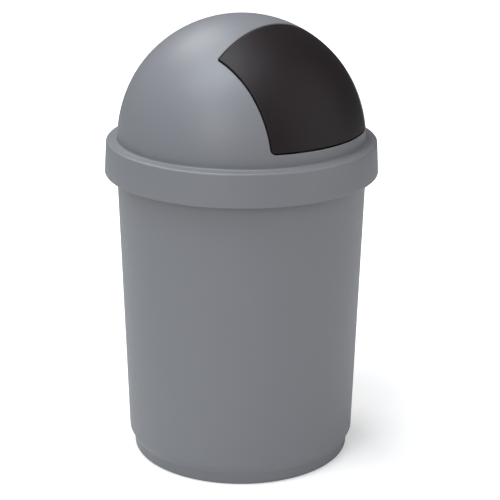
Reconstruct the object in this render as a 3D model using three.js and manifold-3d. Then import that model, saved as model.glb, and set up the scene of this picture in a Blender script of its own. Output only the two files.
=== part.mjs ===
// Dome top waste bin: a tapered bucket, a lift-off dome lid and a push flap set flush in the dome.
// Millimetres, +Z up, origin at the centre of the base on the floor, flap facing -Y.

import * as THREE from 'three';
import { mergeVertices } from 'three/addons/utils/BufferGeometryUtils.js';
import Module from 'manifold-3d';

const wasm = await Module();
wasm.setup();

// ---- Driving dimensions ----

// Bucket
const BUCKET_HEIGHT = 484.5;
const BUCKET_WALL = 2.4;
const BODY_TOP_RADIUS = 186.3;
const BODY_BOTTOM_RADIUS = 172.7;
const FOOT_TOP_RADIUS = 165.6;
const FOOT_BOTTOM_RADIUS = 165.1;
const FOOT_HEIGHT = 17;
const FOOT_STEP_HEIGHT = 13.3;
const FOOT_EDGE_ROUND = 3.4;
const STEP_EDGE_ROUND = 2;
const BASE_THICKNESS = 3;
const BASE_RECESS_RADIUS = 134;
const BASE_RECESS_DEPTH = 4;
const BASE_RECESS_SLOPE_WIDTH = 4;
const FLOOR_CORNER_ROUND = 6;
const BASE_RIB_COUNT = 8;
const BASE_RIB_WIDTH = 2.4;
const BASE_RIB_INNER_RADIUS = 18;
const BASE_RIB_CLEARANCE = 1.2;
const RIM_OVERHANG = 10.3;
const RIM_DROP = 22;
const RIM_WALL = 2.2;
const RIM_EDGE_ROUND = 3;
const RIM_WEB_COUNT = 16;
const RIM_WEB_THICKNESS = 2;
const RIM_WEB_HEIGHT = 17;

// Dome lid
const LID_WALL = 2.4;
const SKIRT_RADIUS = 203.1;
const SKIRT_DRAFT = 2.9;
const SKIRT_HEIGHT = 48.9;
const SHOULDER_RADIUS = 3.3;
const SKIRT_EDGE_ROUND = 1.9;
const SHELF_FILLET = 3;
const DOME_RADIUS = 184.26;
const DOME_HEIGHT = 192.6;
const DOME_SPRING_DROP = 10.3;
const DOME_HEIGHT_POWER = 2.139;
const DOME_RADIUS_POWER = 1.969;
const GRIP_RIB_COUNT = 12;
const GRIP_RIB_WIDTH = 2.4;
const GRIP_RIB_HEIGHT = 28;
const GRIP_RIB_TOP_DROP = 8;

// Mouth in the dome, as seen from above: a straight back edge and two sides that close in
const MOUTH_BACK_REACH = 51.9;
const MOUTH_HALF_WIDTH = 105.7;
const MOUTH_SIDE_TAPER = 0.0415;
const MOUTH_BACK_CORNER = 3;
const MOUTH_SILL_HEIGHT = 19.8;
const MOUTH_SILL_CORNER = 6;
const MOUTH_LIP_WALL = 2.4;
const MOUTH_LIP_DEPTH = 9;
const MOUTH_BACK_ROUND = 4.5;
const SILL_LAND = 0.5;
const SILL_SLOPE = 1.25;

// Flap
const FLAP_WALL = 2.2;
const FLAP_LIP_WALL = 2.2;
const FLAP_LIP_DEPTH = 8;
const STOP_TAB_WIDTH = 24;
const STOP_TAB_OFFSET = 52;
const STOP_TAB_DROP = 12;
const STOP_TAB_ROOT = 8;
const STOP_TAB_WALL = 2.2;

// Pivot axis, measured back from the mouth's side edge and up from the lid's shelf, its pins,
// and the counterweight behind and below it
const PIVOT_SETBACK = 22.333;
const PIVOT_HEIGHT = 96.8;
const PIN_RADIUS = 3;
const PIN_HEAD_RADIUS = 5.5;
const PIN_HEAD_THICKNESS = 2;
const PIN_TIP_CHAMFER = 0.8;
const PIN_PROUD = 2;
const PIVOT_LUG_RADIUS = 9.5;
const PIVOT_LUG_ROOT_RADIUS = 17;
const PIVOT_BOSS_RADIUS = 7;
const PIVOT_BOSS_HEIGHT = 2;
const BAR_RADIUS = 5;
const BAR_BACK = 35;
const BAR_DROP = 31;
const BAR_SOCKET_WALL = 2.5;
const BAR_SOCKET_DEPTH = 9;
const BAR_CHAMFER = 1;

// Clearances
const SEAT_CLEARANCE = 0.3;
const RIM_CLEARANCE = 0.4;
const FLAP_SIDE_GAP = 1.4;
const FLAP_BACK_GAP = 1.5;
const FLAP_SILL_GAP = 1.5;
const STOP_CLEARANCE = 0.5;
const PIN_CLEARANCE = 0.3;
const BAR_CLEARANCE = 0.3;

// Facets
const TURN_STEPS = 60;
const DOME_STEPS = 14;
const ROUND_STEPS = 3;
const HOLE_STEPS = 20;
const BACK_EDGE_STEPS = 24;
const WELD_TOLERANCE = 1e-4;

// ---- Levels that follow from them ----

const SHELF_UNDERSIDE = BUCKET_HEIGHT + SEAT_CLEARANCE;
const SHELF_TOP = SHELF_UNDERSIDE + LID_WALL;
const DOME_SPRING = SHELF_TOP - DOME_SPRING_DROP;
const CROWN = DOME_SPRING + DOME_HEIGHT;
const SILL = SHELF_TOP + MOUTH_SILL_HEIGHT;
const FLAP_SILL = SILL + FLAP_SILL_GAP;
const BAR_SOCKET_RADIUS = BAR_RADIUS + BAR_CLEARANCE + BAR_SOCKET_WALL;
const RIM_RADIUS = BODY_TOP_RADIUS + RIM_OVERHANG;

// How far a cutter runs past the face it opens, and how far joined forms run into each other
const OVERCUT = 5;
const FUSE = 0.5;

// ---- Solids ----

function weld(geometry) {
  const bare = geometry.clone();
  bare.deleteAttribute('normal');
  bare.deleteAttribute('uv');
  const merged = mergeVertices(bare, WELD_TOLERANCE);
  const corners = merged.index.array;
  const kept = [];
  for (let i = 0; i < corners.length; i += 3) {
    const [a, b, c] = [corners[i], corners[i + 1], corners[i + 2]];
    if (a !== b && b !== c && c !== a) kept.push(a, b, c);
  }
  merged.setIndex(kept);
  return merged;
}

function signedVolume(geometry) {
  const at = geometry.attributes.position;
  const index = geometry.index.array;
  const [a, b, c] = [new THREE.Vector3(), new THREE.Vector3(), new THREE.Vector3()];
  let volume = 0;
  for (let i = 0; i < index.length; i += 3) {
    a.fromBufferAttribute(at, index[i]);
    b.fromBufferAttribute(at, index[i + 1]);
    c.fromBufferAttribute(at, index[i + 2]);
    volume += a.dot(b.cross(c)) / 6;
  }
  return volume;
}

function toSolid(geometry) {
  const welded = weld(geometry);
  const triVerts = new Uint32Array(welded.index.array);
  if (signedVolume(welded) < 0) triVerts.reverse();
  const vertProperties = new Float32Array(welded.attributes.position.array);
  return new wasm.Manifold(new wasm.Mesh({ numProp: 3, vertProperties, triVerts }));
}

function toGeometry(solid) {
  const mesh = solid.getMesh();
  const geometry = new THREE.BufferGeometry();
  geometry.setAttribute('position', new THREE.BufferAttribute(mesh.vertProperties, 3));
  geometry.setIndex(new THREE.BufferAttribute(mesh.triVerts, 1));
  const facets = geometry.toNonIndexed();
  facets.computeVertexNormals();
  return facets;
}

const join = solids => solids.reduce((whole, solid) => whole.add(solid));

// A profile of [radius, height] points turned round the vertical axis
function turn(profile, steps = TURN_STEPS) {
  const points = profile.map(([r, z]) => new THREE.Vector2(r, z));
  return toSolid(new THREE.LatheGeometry(points, steps).rotateX(Math.PI / 2));
}

// A closed ring of [radius, height] points
const turnRing = profile => turn([...profile, profile[0]]);

// A profile of [radius, distance] points turned round a line along X through (y, z)
function turnAlongX(profile, [y, z], steps = HOLE_STEPS) {
  const points = profile.map(([r, x]) => new THREE.Vector2(r, x));
  const geometry = new THREE.LatheGeometry(points, steps).rotateZ(-Math.PI / 2);
  return toSolid(geometry.translate(0, y, z));
}

const rod = (radius, x0, x1, centre) => turnAlongX([[0, x0], [radius, x0], [radius, x1], [0, x1]], centre);

function extrude(shape, depth, basis, origin) {
  const options = { depth, bevelEnabled: false, curveSegments: ROUND_STEPS };
  const geometry = new THREE.ExtrudeGeometry(shape, options);
  const matrix = new THREE.Matrix4().makeBasis(...basis).setPosition(origin);
  return toSolid(geometry.applyMatrix4(matrix));
}

const [X, Y, Z] = [new THREE.Vector3(1, 0, 0), new THREE.Vector3(0, 1, 0), new THREE.Vector3(0, 0, 1)];
const BACKWARD_Y = Y.clone().negate();

// A plan outline (x, y) raised from z0 to z1
const raise = (shape, z0, z1) => extrude(shape, z1 - z0, [X, Y, Z], new THREE.Vector3(0, 0, z0));

// A front outline (x, z) run from the bin's axis out through the front
const runForward = (shape, length) => extrude(shape, length, [X, Z, BACKWARD_Y], new THREE.Vector3());

// A side outline (y, z) run from x0 to x1
const runAcross = (shape, x0, x1) => extrude(shape, x1 - x0, [Y, Z, X], new THREE.Vector3(x0, 0, 0));

const acrossDome = shape => runAcross(shape, -DOME_RADIUS, DOME_RADIUS);

function block(x0, x1, y0, y1, z0, z1) {
  const geometry = new THREE.BoxGeometry(x1 - x0, y1 - y0, z1 - z0);
  return toSolid(geometry.translate((x0 + x1) / 2, (y0 + y1) / 2, (z0 + z1) / 2));
}

// Blocks set round the axis, each from radius r0 to r1
function spokes(count, r0, r1, width, z0, z1) {
  const solids = [];
  for (let i = 0; i < count; i++) {
    const geometry = new THREE.BoxGeometry(r1 - r0, width, z1 - z0);
    geometry.translate((r0 + r1) / 2, 0, (z0 + z1) / 2);
    solids.push(toSolid(geometry.rotateZ((2 * Math.PI * (i + 0.5)) / count)));
  }
  return join(solids);
}

// Corners [r, z, rounding]; a rounding swings from one side of the corner to the other on an arc
function rounded(corners) {
  const at = i => new THREE.Vector2(corners[i][0], corners[i][1]);
  const points = [];
  corners.forEach(([r, z, rounding], i) => {
    if (!rounding) {
      points.push([r, z]);
      return;
    }
    const corner = at(i);
    const back = at(i - 1).sub(corner).normalize();
    const ahead = at(i + 1).sub(corner).normalize();
    const half = Math.acos(back.dot(ahead)) / 2;
    const centre = back.clone().add(ahead).setLength(rounding / Math.sin(half)).add(corner);
    const start = back.setLength(rounding / Math.tan(half)).add(corner).sub(centre);
    const end = ahead.setLength(rounding / Math.tan(half)).add(corner).sub(centre);
    const sweep = Math.atan2(start.cross(end), start.dot(end));
    for (let k = 0; k <= ROUND_STEPS; k++) {
      const p = start.clone().rotateAround(new THREE.Vector2(), (sweep * k) / ROUND_STEPS).add(centre);
      points.push([p.x, p.y]);
    }
  });
  return points;
}

// ---- Dome form ----

// The dome's outline follows (r/R)^p + (h/H)^q = 1; inset moves a point inwards along its normal
function domePoint(angle, inset = 0) {
  const r = DOME_RADIUS * Math.max(Math.cos(angle), 0) ** (2 / DOME_RADIUS_POWER);
  const h = DOME_HEIGHT * Math.sin(angle) ** (2 / DOME_HEIGHT_POWER);
  const slopeR = (DOME_RADIUS_POWER / DOME_RADIUS) * (r / DOME_RADIUS) ** (DOME_RADIUS_POWER - 1);
  const slopeH = (DOME_HEIGHT_POWER / DOME_HEIGHT) * (h / DOME_HEIGHT) ** (DOME_HEIGHT_POWER - 1);
  const length = Math.hypot(slopeR, slopeH);
  return [r - (inset * slopeR) / length, DOME_SPRING + h - (inset * slopeH) / length];
}

const domeAngleAt = z => Math.asin(((z - DOME_SPRING) / DOME_HEIGHT) ** (DOME_HEIGHT_POWER / 2));

const domeRadiusAt = z => domePoint(domeAngleAt(z))[0];

// Points from height z0 up to the crown, all moved inwards by inset
function domeCurve(z0, inset) {
  const start = domeAngleAt(z0);
  const points = [];
  for (let i = 0; i <= DOME_STEPS; i++) {
    const angle = start + ((Math.PI / 2 - start) * i) / DOME_STEPS;
    points.push(domePoint(angle, inset));
  }
  points[DOME_STEPS][0] = 0;
  points[0][1] = z0;
  return points;
}

// The space under the dome from height z0 up, inset from the outer face
function domeCore(z0, inset) {
  return turn([[0, z0], ...domeCurve(z0, inset)]);
}

// The skin of the dome between two insets
const domeSkin = (z0, outer, inner) => domeCore(z0, outer).subtract(domeCore(z0 - OVERCUT, inner));

// ---- Mouth form ----

// Half width of the mouth at a reach forward of the axis, less a gap square to the side
function mouthHalfWidth(reach, gap) {
  const atBack = MOUTH_HALF_WIDTH - MOUTH_SIDE_TAPER * (reach - MOUTH_BACK_REACH);
  return atBack - gap * Math.hypot(1, MOUTH_SIDE_TAPER);
}

// How far forward a mouth side meets a circle of the given radius
function reachOnCircle(radius, gap) {
  const slope = MOUTH_SIDE_TAPER;
  const atAxis = mouthHalfWidth(0, gap);
  const square = 1 + slope * slope;
  return (slope * atAxis + Math.sqrt(square * radius * radius - atAxis * atAxis)) / square;
}

// Plan of the mouth with a gap taken off its sides and back
function mouthPlan(sideGap, backGap) {
  const back = MOUTH_BACK_REACH + backGap;
  const front = DOME_RADIUS + OVERCUT;
  const wide = mouthHalfWidth(back, sideGap);
  const narrow = mouthHalfWidth(front, sideGap);
  const corner = Math.max(MOUTH_BACK_CORNER - sideGap, 0);
  const corners = [
    [-narrow, -front],
    [narrow, -front],
    [wide, -back, corner],
    [-wide, -back, corner],
    [-narrow, -front],
  ];
  return new THREE.Shape(rounded(corners).map(([x, y]) => new THREE.Vector2(x, y)));
}

// Everything in front of and above the sill, with the sill's two lower corners rounded
function sillFront(sill, gap) {
  const half = mouthHalfWidth(reachOnCircle(domeRadiusAt(sill), gap), gap);
  const corner = MOUTH_SILL_CORNER - gap;
  const upright = sill + 2 * MOUTH_SILL_CORNER;
  const flare = DOME_RADIUS - half;
  const top = CROWN + OVERCUT;
  const corners = [
    [-half - flare, top],
    [-half - flare, upright + flare],
    [-half, upright],
    [-half, sill, corner],
    [half, sill, corner],
    [half, upright],
    [half + flare, upright + flare],
    [half + flare, top],
  ];
  return new THREE.Shape(rounded(corners).map(([x, z]) => new THREE.Vector2(x, z)));
}

function mouthSpace(sideGap, backGap, sillGap) {
  const plan = raise(mouthPlan(sideGap, backGap), SHELF_TOP, CROWN + OVERCUT);
  return plan.intersect(runForward(sillFront(SILL + sillGap, sideGap), DOME_RADIUS + OVERCUT));
}

// ---- Pivot axis and bar, as (y, z) in the side view ----

const PIVOT_Z = SHELF_TOP + PIVOT_HEIGHT;
const PIVOT_REACH = reachOnCircle(domeRadiusAt(PIVOT_Z), 0) - PIVOT_SETBACK;
const PIVOT = new THREE.Vector2(-PIVOT_REACH, PIVOT_Z);
const BAR = new THREE.Vector2(PIVOT.x + BAR_BACK, PIVOT.y - BAR_DROP);

// Rounded outline round two circles, in the side view
function beltShape([y0, z0], radius0, [y1, z1], radius1) {
  const length = Math.hypot(y1 - y0, z1 - z0);
  const heading = Math.atan2(z1 - z0, y1 - y0);
  const lean = Math.acos((radius0 - radius1) / length);
  const shape = new THREE.Shape();
  shape.absarc(y0, z0, radius0, heading + lean, heading - lean + 2 * Math.PI, false);
  shape.absarc(y1, z1, radius1, heading - lean, heading + lean, false);
  return shape;
}

// ---- Bucket ----

function bucket() {
  const stepTop = FOOT_HEIGHT + FOOT_STEP_HEIGHT;
  const recessEdge = BASE_RECESS_RADIUS + BASE_RECESS_SLOPE_WIDTH;
  const lipInside = RIM_RADIUS - RIM_WALL;
  const flangeUnderside = BUCKET_HEIGHT - RIM_WALL;
  const outside = [
    [0, BASE_RECESS_DEPTH],
    [BASE_RECESS_RADIUS, BASE_RECESS_DEPTH],
    [recessEdge, 0],
    [FOOT_BOTTOM_RADIUS, 0, FOOT_EDGE_ROUND],
    [FOOT_TOP_RADIUS, FOOT_HEIGHT],
    [BODY_BOTTOM_RADIUS, stepTop, STEP_EDGE_ROUND],
    [BODY_TOP_RADIUS, flangeUnderside],
    [lipInside, flangeUnderside, RIM_EDGE_ROUND - RIM_WALL],
    [lipInside, BUCKET_HEIGHT - RIM_DROP],
    [RIM_RADIUS, BUCKET_HEIGHT - RIM_DROP],
    [RIM_RADIUS, BUCKET_HEIGHT, RIM_EDGE_ROUND],
  ];
  const inside = [
    [BODY_TOP_RADIUS - BUCKET_WALL, BUCKET_HEIGHT, BUCKET_WALL / 2],
    [BODY_BOTTOM_RADIUS - BUCKET_WALL, stepTop + BUCKET_WALL / 2],
    [FOOT_TOP_RADIUS - BUCKET_WALL, FOOT_HEIGHT + BUCKET_WALL / 2],
    [FOOT_BOTTOM_RADIUS - BUCKET_WALL, BASE_THICKNESS, FLOOR_CORNER_ROUND],
    [recessEdge, BASE_THICKNESS],
    [BASE_RECESS_RADIUS, BASE_RECESS_DEPTH + BASE_THICKNESS],
    [0, BASE_RECESS_DEPTH + BASE_THICKNESS],
  ];
  const shell = turn(rounded([...outside, ...inside]));
  const webTop = flangeUnderside + FUSE;
  const webs = spokes(
    RIM_WEB_COUNT,
    BODY_TOP_RADIUS - BUCKET_WALL / 2,
    lipInside + FUSE,
    RIM_WEB_THICKNESS,
    flangeUnderside - RIM_WEB_HEIGHT,
    webTop
  );
  const ribs = spokes(
    BASE_RIB_COUNT,
    BASE_RIB_INNER_RADIUS,
    BASE_RECESS_RADIUS - BASE_RECESS_SLOPE_WIDTH,
    BASE_RIB_WIDTH,
    BASE_RIB_CLEARANCE,
    BASE_RECESS_DEPTH + FUSE
  );
  return join([shell, webs, ribs]);
}

// ---- Dome lid ----

const skirtRadiusAt = z => SKIRT_RADIUS - (SKIRT_DRAFT * (z - SHELF_TOP + SKIRT_HEIGHT)) / SKIRT_HEIGHT;

function lidShell() {
  const skirtBottom = SHELF_TOP - SKIRT_HEIGHT;
  const skirtTop = SKIRT_RADIUS - SKIRT_DRAFT;
  const outerDome = domeCurve(SHELF_TOP, 0);
  const innerDome = domeCurve(SHELF_UNDERSIDE, LID_WALL);
  const rim = rounded([
    innerDome[0],
    [skirtTop - LID_WALL, SHELF_UNDERSIDE, SHOULDER_RADIUS - LID_WALL],
    [SKIRT_RADIUS - LID_WALL, skirtBottom],
    [SKIRT_RADIUS, skirtBottom, SKIRT_EDGE_ROUND],
    [skirtTop, SHELF_TOP, SHOULDER_RADIUS],
    [...outerDome[0], SHELF_FILLET],
    outerDome[1],
  ]);
  return turn([...innerDome.slice(1).reverse(), ...rim, ...outerDome.slice(2)]);
}

// Short upright ribs inside the skirt that centre it on the bucket's rim
function gripRibs() {
  const top = SHELF_UNDERSIDE - GRIP_RIB_TOP_DROP;
  const bottom = top - GRIP_RIB_HEIGHT;
  const middle = z => [skirtRadiusAt(z) - LID_WALL / 2, z];
  const ribs = spokes(GRIP_RIB_COUNT, RIM_RADIUS + RIM_CLEARANCE, SKIRT_RADIUS, GRIP_RIB_WIDTH, bottom, top);
  return ribs.intersect(turn([[0, bottom], middle(bottom), middle(top), [0, top]]));
}

// The mouth's edge turned in: a lip down both sides and the back, with a lug for each pivot
function mouthLip() {
  const wall = raise(mouthPlan(-MOUTH_LIP_WALL, -MOUTH_LIP_WALL), SILL, CROWN)
    .subtract(raise(mouthPlan(0, 0), SHELF_TOP, CROWN + OVERCUT));
  const band = domeSkin(SILL, LID_WALL / 2, LID_WALL + MOUTH_LIP_DEPTH);
  const lug = acrossDome(pivotLug()).intersect(domeCore(SILL, LID_WALL / 2));
  return wall.intersect(band.add(lug));
}

// Side outline of a pivot lug: round the pivot and widening to the dome
function pivotLug() {
  return beltShape([PIVOT.x, PIVOT.y], PIVOT_LUG_RADIUS, lugRoot(), PIVOT_LUG_ROOT_RADIUS);
}

// Where the line from the pivot square to the dome's side edge reaches the dome
function lugRoot() {
  const half = mouthHalfWidth(PIVOT_REACH, 0);
  const edge = Math.sqrt(domeRadiusAt(PIVOT.y) ** 2 - half ** 2);
  const rise = Math.sqrt(domeRadiusAt(PIVOT.y + OVERCUT) ** 2 - half ** 2);
  const slope = (edge - rise) / OVERCUT;
  const distance = (edge - PIVOT_REACH) / (1 + slope * slope);
  return [PIVOT.x - distance, PIVOT.y + slope * distance];
}

// The sill slopes down inwards behind a narrow land, so that the flap's lower edge can pass
function sillBevel() {
  const radius = domeRadiusAt(SILL);
  const outer = radius - SILL_LAND;
  const inner = radius - LID_WALL - OVERCUT;
  const ring = turnRing([
    [outer, SILL],
    [inner, SILL - SILL_SLOPE * (outer - inner)],
    [inner, SILL + OVERCUT],
    [outer, SILL + OVERCUT],
  ]);
  const half = mouthHalfWidth(reachOnCircle(radius, 0), 0);
  return ring.intersect(block(-half, half, -DOME_RADIUS, 0, SHELF_TOP, CROWN));
}

// Cutter that rounds the mouth's back edge: at each x, the corner outside an arc that is
// tangent to the mouth's back plane and to the dome's slope
function backEdgeRounding() {
  const reachX = mouthHalfWidth(MOUTH_BACK_REACH, 0) + MOUTH_LIP_WALL / 2;
  const sections = [];
  for (let i = 0; i <= BACK_EDGE_STEPS; i++) {
    const x = -reachX + (2 * reachX * i) / BACK_EDGE_STEPS;
    sections.push(backEdgeSection(x));
  }
  return loft(sections);
}

function domeHeightAt(radius) {
  const share = 1 - (radius / DOME_RADIUS) ** DOME_RADIUS_POWER;
  return DOME_SPRING + DOME_HEIGHT * share ** (1 / DOME_HEIGHT_POWER);
}

function backEdgeSection(x) {
  const edgeY = -MOUTH_BACK_REACH;
  const heightAt = y => domeHeightAt(Math.hypot(x, y));
  const edgeZ = heightAt(edgeY);
  const slope = (heightAt(edgeY + MOUTH_BACK_ROUND) - edgeZ) / MOUTH_BACK_ROUND;
  const sweep = Math.PI / 2 - Math.atan(slope);
  const centreY = edgeY + MOUTH_BACK_ROUND;
  const centreZ = edgeZ - MOUTH_BACK_ROUND * Math.tan(sweep / 2);
  const section = [[x, edgeY - OVERCUT, centreZ]];
  for (let k = 0; k <= ROUND_STEPS; k++) {
    const angle = Math.PI - (sweep * k) / ROUND_STEPS;
    const y = centreY + MOUTH_BACK_ROUND * Math.cos(angle);
    section.push([x, y, centreZ + MOUTH_BACK_ROUND * Math.sin(angle)]);
  }
  const [, lastY, lastZ] = section[section.length - 1];
  section.push([x, lastY + FUSE, lastZ + slope * FUSE]);
  section.push([x, lastY + FUSE, lastZ + OVERCUT]);
  section.push([x, edgeY - OVERCUT, lastZ + OVERCUT]);
  return section;
}

// A closed body through a row of like sections of [x, y, z] points, capped at both ends
function loft(sections) {
  const size = sections[0].length;
  const positions = sections.flat(2);
  const index = [];
  for (let s = 0; s < sections.length - 1; s++) {
    for (let k = 0; k < size; k++) {
      const [a, b] = [s * size + k, s * size + ((k + 1) % size)];
      index.push(a, b, a + size, b, b + size, a + size);
    }
  }
  const outline = sections[0].map(([, y, z]) => new THREE.Vector2(y, z));
  const lastStart = (sections.length - 1) * size;
  for (const [a, b, c] of THREE.ShapeUtils.triangulateShape(outline, [])) {
    index.push(b, a, c, lastStart + a, lastStart + b, lastStart + c);
  }
  const geometry = new THREE.BufferGeometry();
  geometry.setAttribute('position', new THREE.Float32BufferAttribute(positions, 3));
  geometry.setIndex(index);
  return toSolid(geometry);
}

function domeLid() {
  const holes = rod(PIN_RADIUS + PIN_CLEARANCE, -DOME_RADIUS, DOME_RADIUS, [PIVOT.x, PIVOT.y]);
  const inside = domeCore(SHELF_UNDERSIDE, LID_WALL);
  return join([lidShell(), gripRibs()])
    .subtract(mouthSpace(0, 0, 0))
    .add(mouthLip())
    .subtract(backEdgeRounding())
    .subtract(sillBevel())
    .subtract(holes.intersect(inside));
}

// ---- Swing flap ----

// The flap's edge turned in down both sides and the back
function flapLip() {
  const plan = lip => mouthPlan(FLAP_SIDE_GAP + lip, FLAP_BACK_GAP + lip);
  const wall = raise(plan(0), FLAP_SILL, CROWN)
    .subtract(raise(plan(FLAP_LIP_WALL), SHELF_TOP, CROWN + OVERCUT));
  return wall.intersect(domeSkin(FLAP_SILL, FLAP_WALL / 2, FLAP_WALL + FLAP_LIP_DEPTH));
}

// Behind each side an arm from the flap's skin past the pivot to the counterweight
function flapArms() {
  const plan = lip => mouthPlan(FLAP_SIDE_GAP + lip, lip - MOUTH_BACK_REACH);
  const wall = raise(plan(0), FLAP_SILL, CROWN)
    .subtract(raise(plan(FLAP_LIP_WALL), SHELF_TOP, CROWN + OVERCUT));
  const pivot = [PIVOT.x, PIVOT.y];
  const tail = beltShape(pivot, PIVOT_LUG_RADIUS, [BAR.x, BAR.y], BAR_SOCKET_RADIUS);
  const sides = block(-DOME_RADIUS, DOME_RADIUS, -DOME_RADIUS, 0, FLAP_SILL, CROWN);
  return wall
    .intersect(sides)
    .intersect(acrossDome(pivotLug()).add(acrossDome(tail)))
    .intersect(domeCore(FLAP_SILL, FLAP_WALL / 2));
}

// Two tongues below the flap's lower edge that come up against the inside of the sill
function stopTabs() {
  const low = FLAP_SILL - STOP_TAB_DROP;
  const outer = LID_WALL + STOP_CLEARANCE;
  const tongue = domeSkin(low, outer, outer + STOP_TAB_WALL);
  const root = domeSkin(FLAP_SILL, FLAP_WALL / 2, outer + STOP_TAB_WALL);
  const tabs = [-1, 1].map(side => {
    const x = side * STOP_TAB_OFFSET;
    const [x0, x1] = [x - STOP_TAB_WIDTH / 2, x + STOP_TAB_WIDTH / 2];
    const strip = (z0, z1) => block(x0, x1, -DOME_RADIUS, 0, z0, z1);
    const lower = tongue.intersect(strip(low, FLAP_SILL + FUSE));
    return lower.add(root.intersect(strip(FLAP_SILL, FLAP_SILL + STOP_TAB_ROOT)));
  });
  return join(tabs);
}

// Seat of a pin's head, measured from the middle of the bin
const pinSeat = () => mouthHalfWidth(PIVOT_REACH, FLAP_SIDE_GAP + FLAP_LIP_WALL) - PIVOT_BOSS_HEIGHT;

// Floor of a bar socket, measured from the middle of the bin
const barFloor = () => mouthHalfWidth(-BAR.x, FLAP_SIDE_GAP + FLAP_LIP_WALL) - FUSE;

function swingFlap() {
  const skin = domeSkin(FLAP_SILL, 0, FLAP_WALL)
    .intersect(mouthSpace(FLAP_SIDE_GAP, FLAP_BACK_GAP, FLAP_SILL_GAP));
  const pivot = [PIVOT.x, PIVOT.y];
  const bar = [BAR.x, BAR.y];
  const seat = pinSeat();
  const floor = barFloor();
  const mouth = floor - BAR_SOCKET_DEPTH;
  const bosses = [];
  const bores = [rod(PIN_RADIUS + PIN_CLEARANCE, -DOME_RADIUS, DOME_RADIUS, pivot)];
  for (const side of [-1, 1]) {
    const span = (a, b) => (side < 0 ? [-b, -a] : [a, b]);
    const bossRoot = seat + PIVOT_BOSS_HEIGHT + FLAP_LIP_WALL / 2;
    bosses.push(rod(PIVOT_BOSS_RADIUS, ...span(seat, bossRoot), pivot));
    bosses.push(rod(BAR_SOCKET_RADIUS, ...span(mouth, floor + FUSE * 2), bar));
    bores.push(rod(BAR_RADIUS + BAR_CLEARANCE, ...span(mouth - OVERCUT, floor), bar));
  }
  const body = join([skin, flapLip(), flapArms(), stopTabs(), ...bosses]);
  return bores.reduce((left, bore) => left.subtract(bore), body);
}

// ---- Pivot pins and counterweight ----

function pivotPin(side) {
  const headInner = pinSeat() - SEAT_CLEARANCE - PIN_HEAD_THICKNESS;
  const shoulder = headInner + PIN_HEAD_THICKNESS;
  const tip = mouthHalfWidth(PIVOT_REACH, -MOUTH_LIP_WALL) + PIN_PROUD;
  const profile = [
    [0, headInner],
    [PIN_HEAD_RADIUS, headInner],
    [PIN_HEAD_RADIUS, shoulder],
    [PIN_RADIUS, shoulder],
    [PIN_RADIUS, tip - PIN_TIP_CHAMFER],
    [PIN_RADIUS - PIN_TIP_CHAMFER, tip],
    [0, tip],
  ];
  return turnAlongX(profile.map(([r, x]) => [r, side * x]), [PIVOT.x, PIVOT.y]);
}

function counterweightBar() {
  const half = barFloor() - BAR_CLEARANCE;
  return turnAlongX([
    [0, -half],
    [BAR_RADIUS - BAR_CHAMFER, -half],
    [BAR_RADIUS, -half + BAR_CHAMFER],
    [BAR_RADIUS, half - BAR_CHAMFER],
    [BAR_RADIUS - BAR_CHAMFER, half],
    [0, half],
  ], [BAR.x, BAR.y]);
}

// ---- Assembly ----

const GREY_POLYPROPYLENE = { color: 0x85898d, roughness: 0.5, metalness: 0 };
const BLACK_POLYPROPYLENE = { color: 0x322e30, roughness: 0.55, metalness: 0 };
const NATURAL_ACETAL = { color: 0xd8d6cf, roughness: 0.4, metalness: 0 };
const ZINC_PLATED_STEEL = { color: 0xa9acb0, roughness: 0.35, metalness: 1 };

const group = new THREE.Group();
group.name = 'dome_top_bin';

function place(name, solid, finish) {
  const mesh = new THREE.Mesh(toGeometry(solid), new THREE.MeshStandardMaterial(finish));
  mesh.name = name;
  group.add(mesh);
}

place('bucket', bucket(), GREY_POLYPROPYLENE);
place('dome_lid', domeLid(), GREY_POLYPROPYLENE);
place('swing_flap', swingFlap(), BLACK_POLYPROPYLENE);
place('pivot_pin_left', pivotPin(-1), NATURAL_ACETAL);
place('pivot_pin_right', pivotPin(1), NATURAL_ACETAL);
place('counterweight_bar', counterweightBar(), ZINC_PLATED_STEEL);

export default group;
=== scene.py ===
"""Looks of a dome top waste bin: a grey bucket, a lift-off dome lid and a black push flap."""

import math

import bmesh
import bpy
from mathutils import Matrix, Vector


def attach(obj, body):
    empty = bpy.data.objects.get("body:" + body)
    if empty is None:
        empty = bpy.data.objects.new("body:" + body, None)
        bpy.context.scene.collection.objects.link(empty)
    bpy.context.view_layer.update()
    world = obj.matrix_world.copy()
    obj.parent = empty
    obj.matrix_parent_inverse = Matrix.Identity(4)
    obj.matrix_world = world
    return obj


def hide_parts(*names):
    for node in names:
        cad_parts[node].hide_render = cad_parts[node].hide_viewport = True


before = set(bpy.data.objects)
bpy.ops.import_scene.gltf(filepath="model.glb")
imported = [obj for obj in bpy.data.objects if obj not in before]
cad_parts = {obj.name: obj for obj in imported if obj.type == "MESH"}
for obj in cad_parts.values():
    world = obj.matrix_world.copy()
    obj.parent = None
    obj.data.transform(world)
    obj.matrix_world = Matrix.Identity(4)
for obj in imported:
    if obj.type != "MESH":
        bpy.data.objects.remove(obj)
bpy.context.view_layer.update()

bl_info = {
    "name": "Dome top waste bin",
    "version": (1, 0, 0),
    "blender": (4, 5, 0),
    "location": "3D View > Sidebar > Waste bin",
    "description": "Builds a domed plastic waste bin with a push flap round its packed model",
    "category": "Object",
}

# Lengths in the mesh code are millimetres, and become metres where a mesh is made.
MM = 0.001

# ---- The bin's own sizes, as in the solids ----

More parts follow.
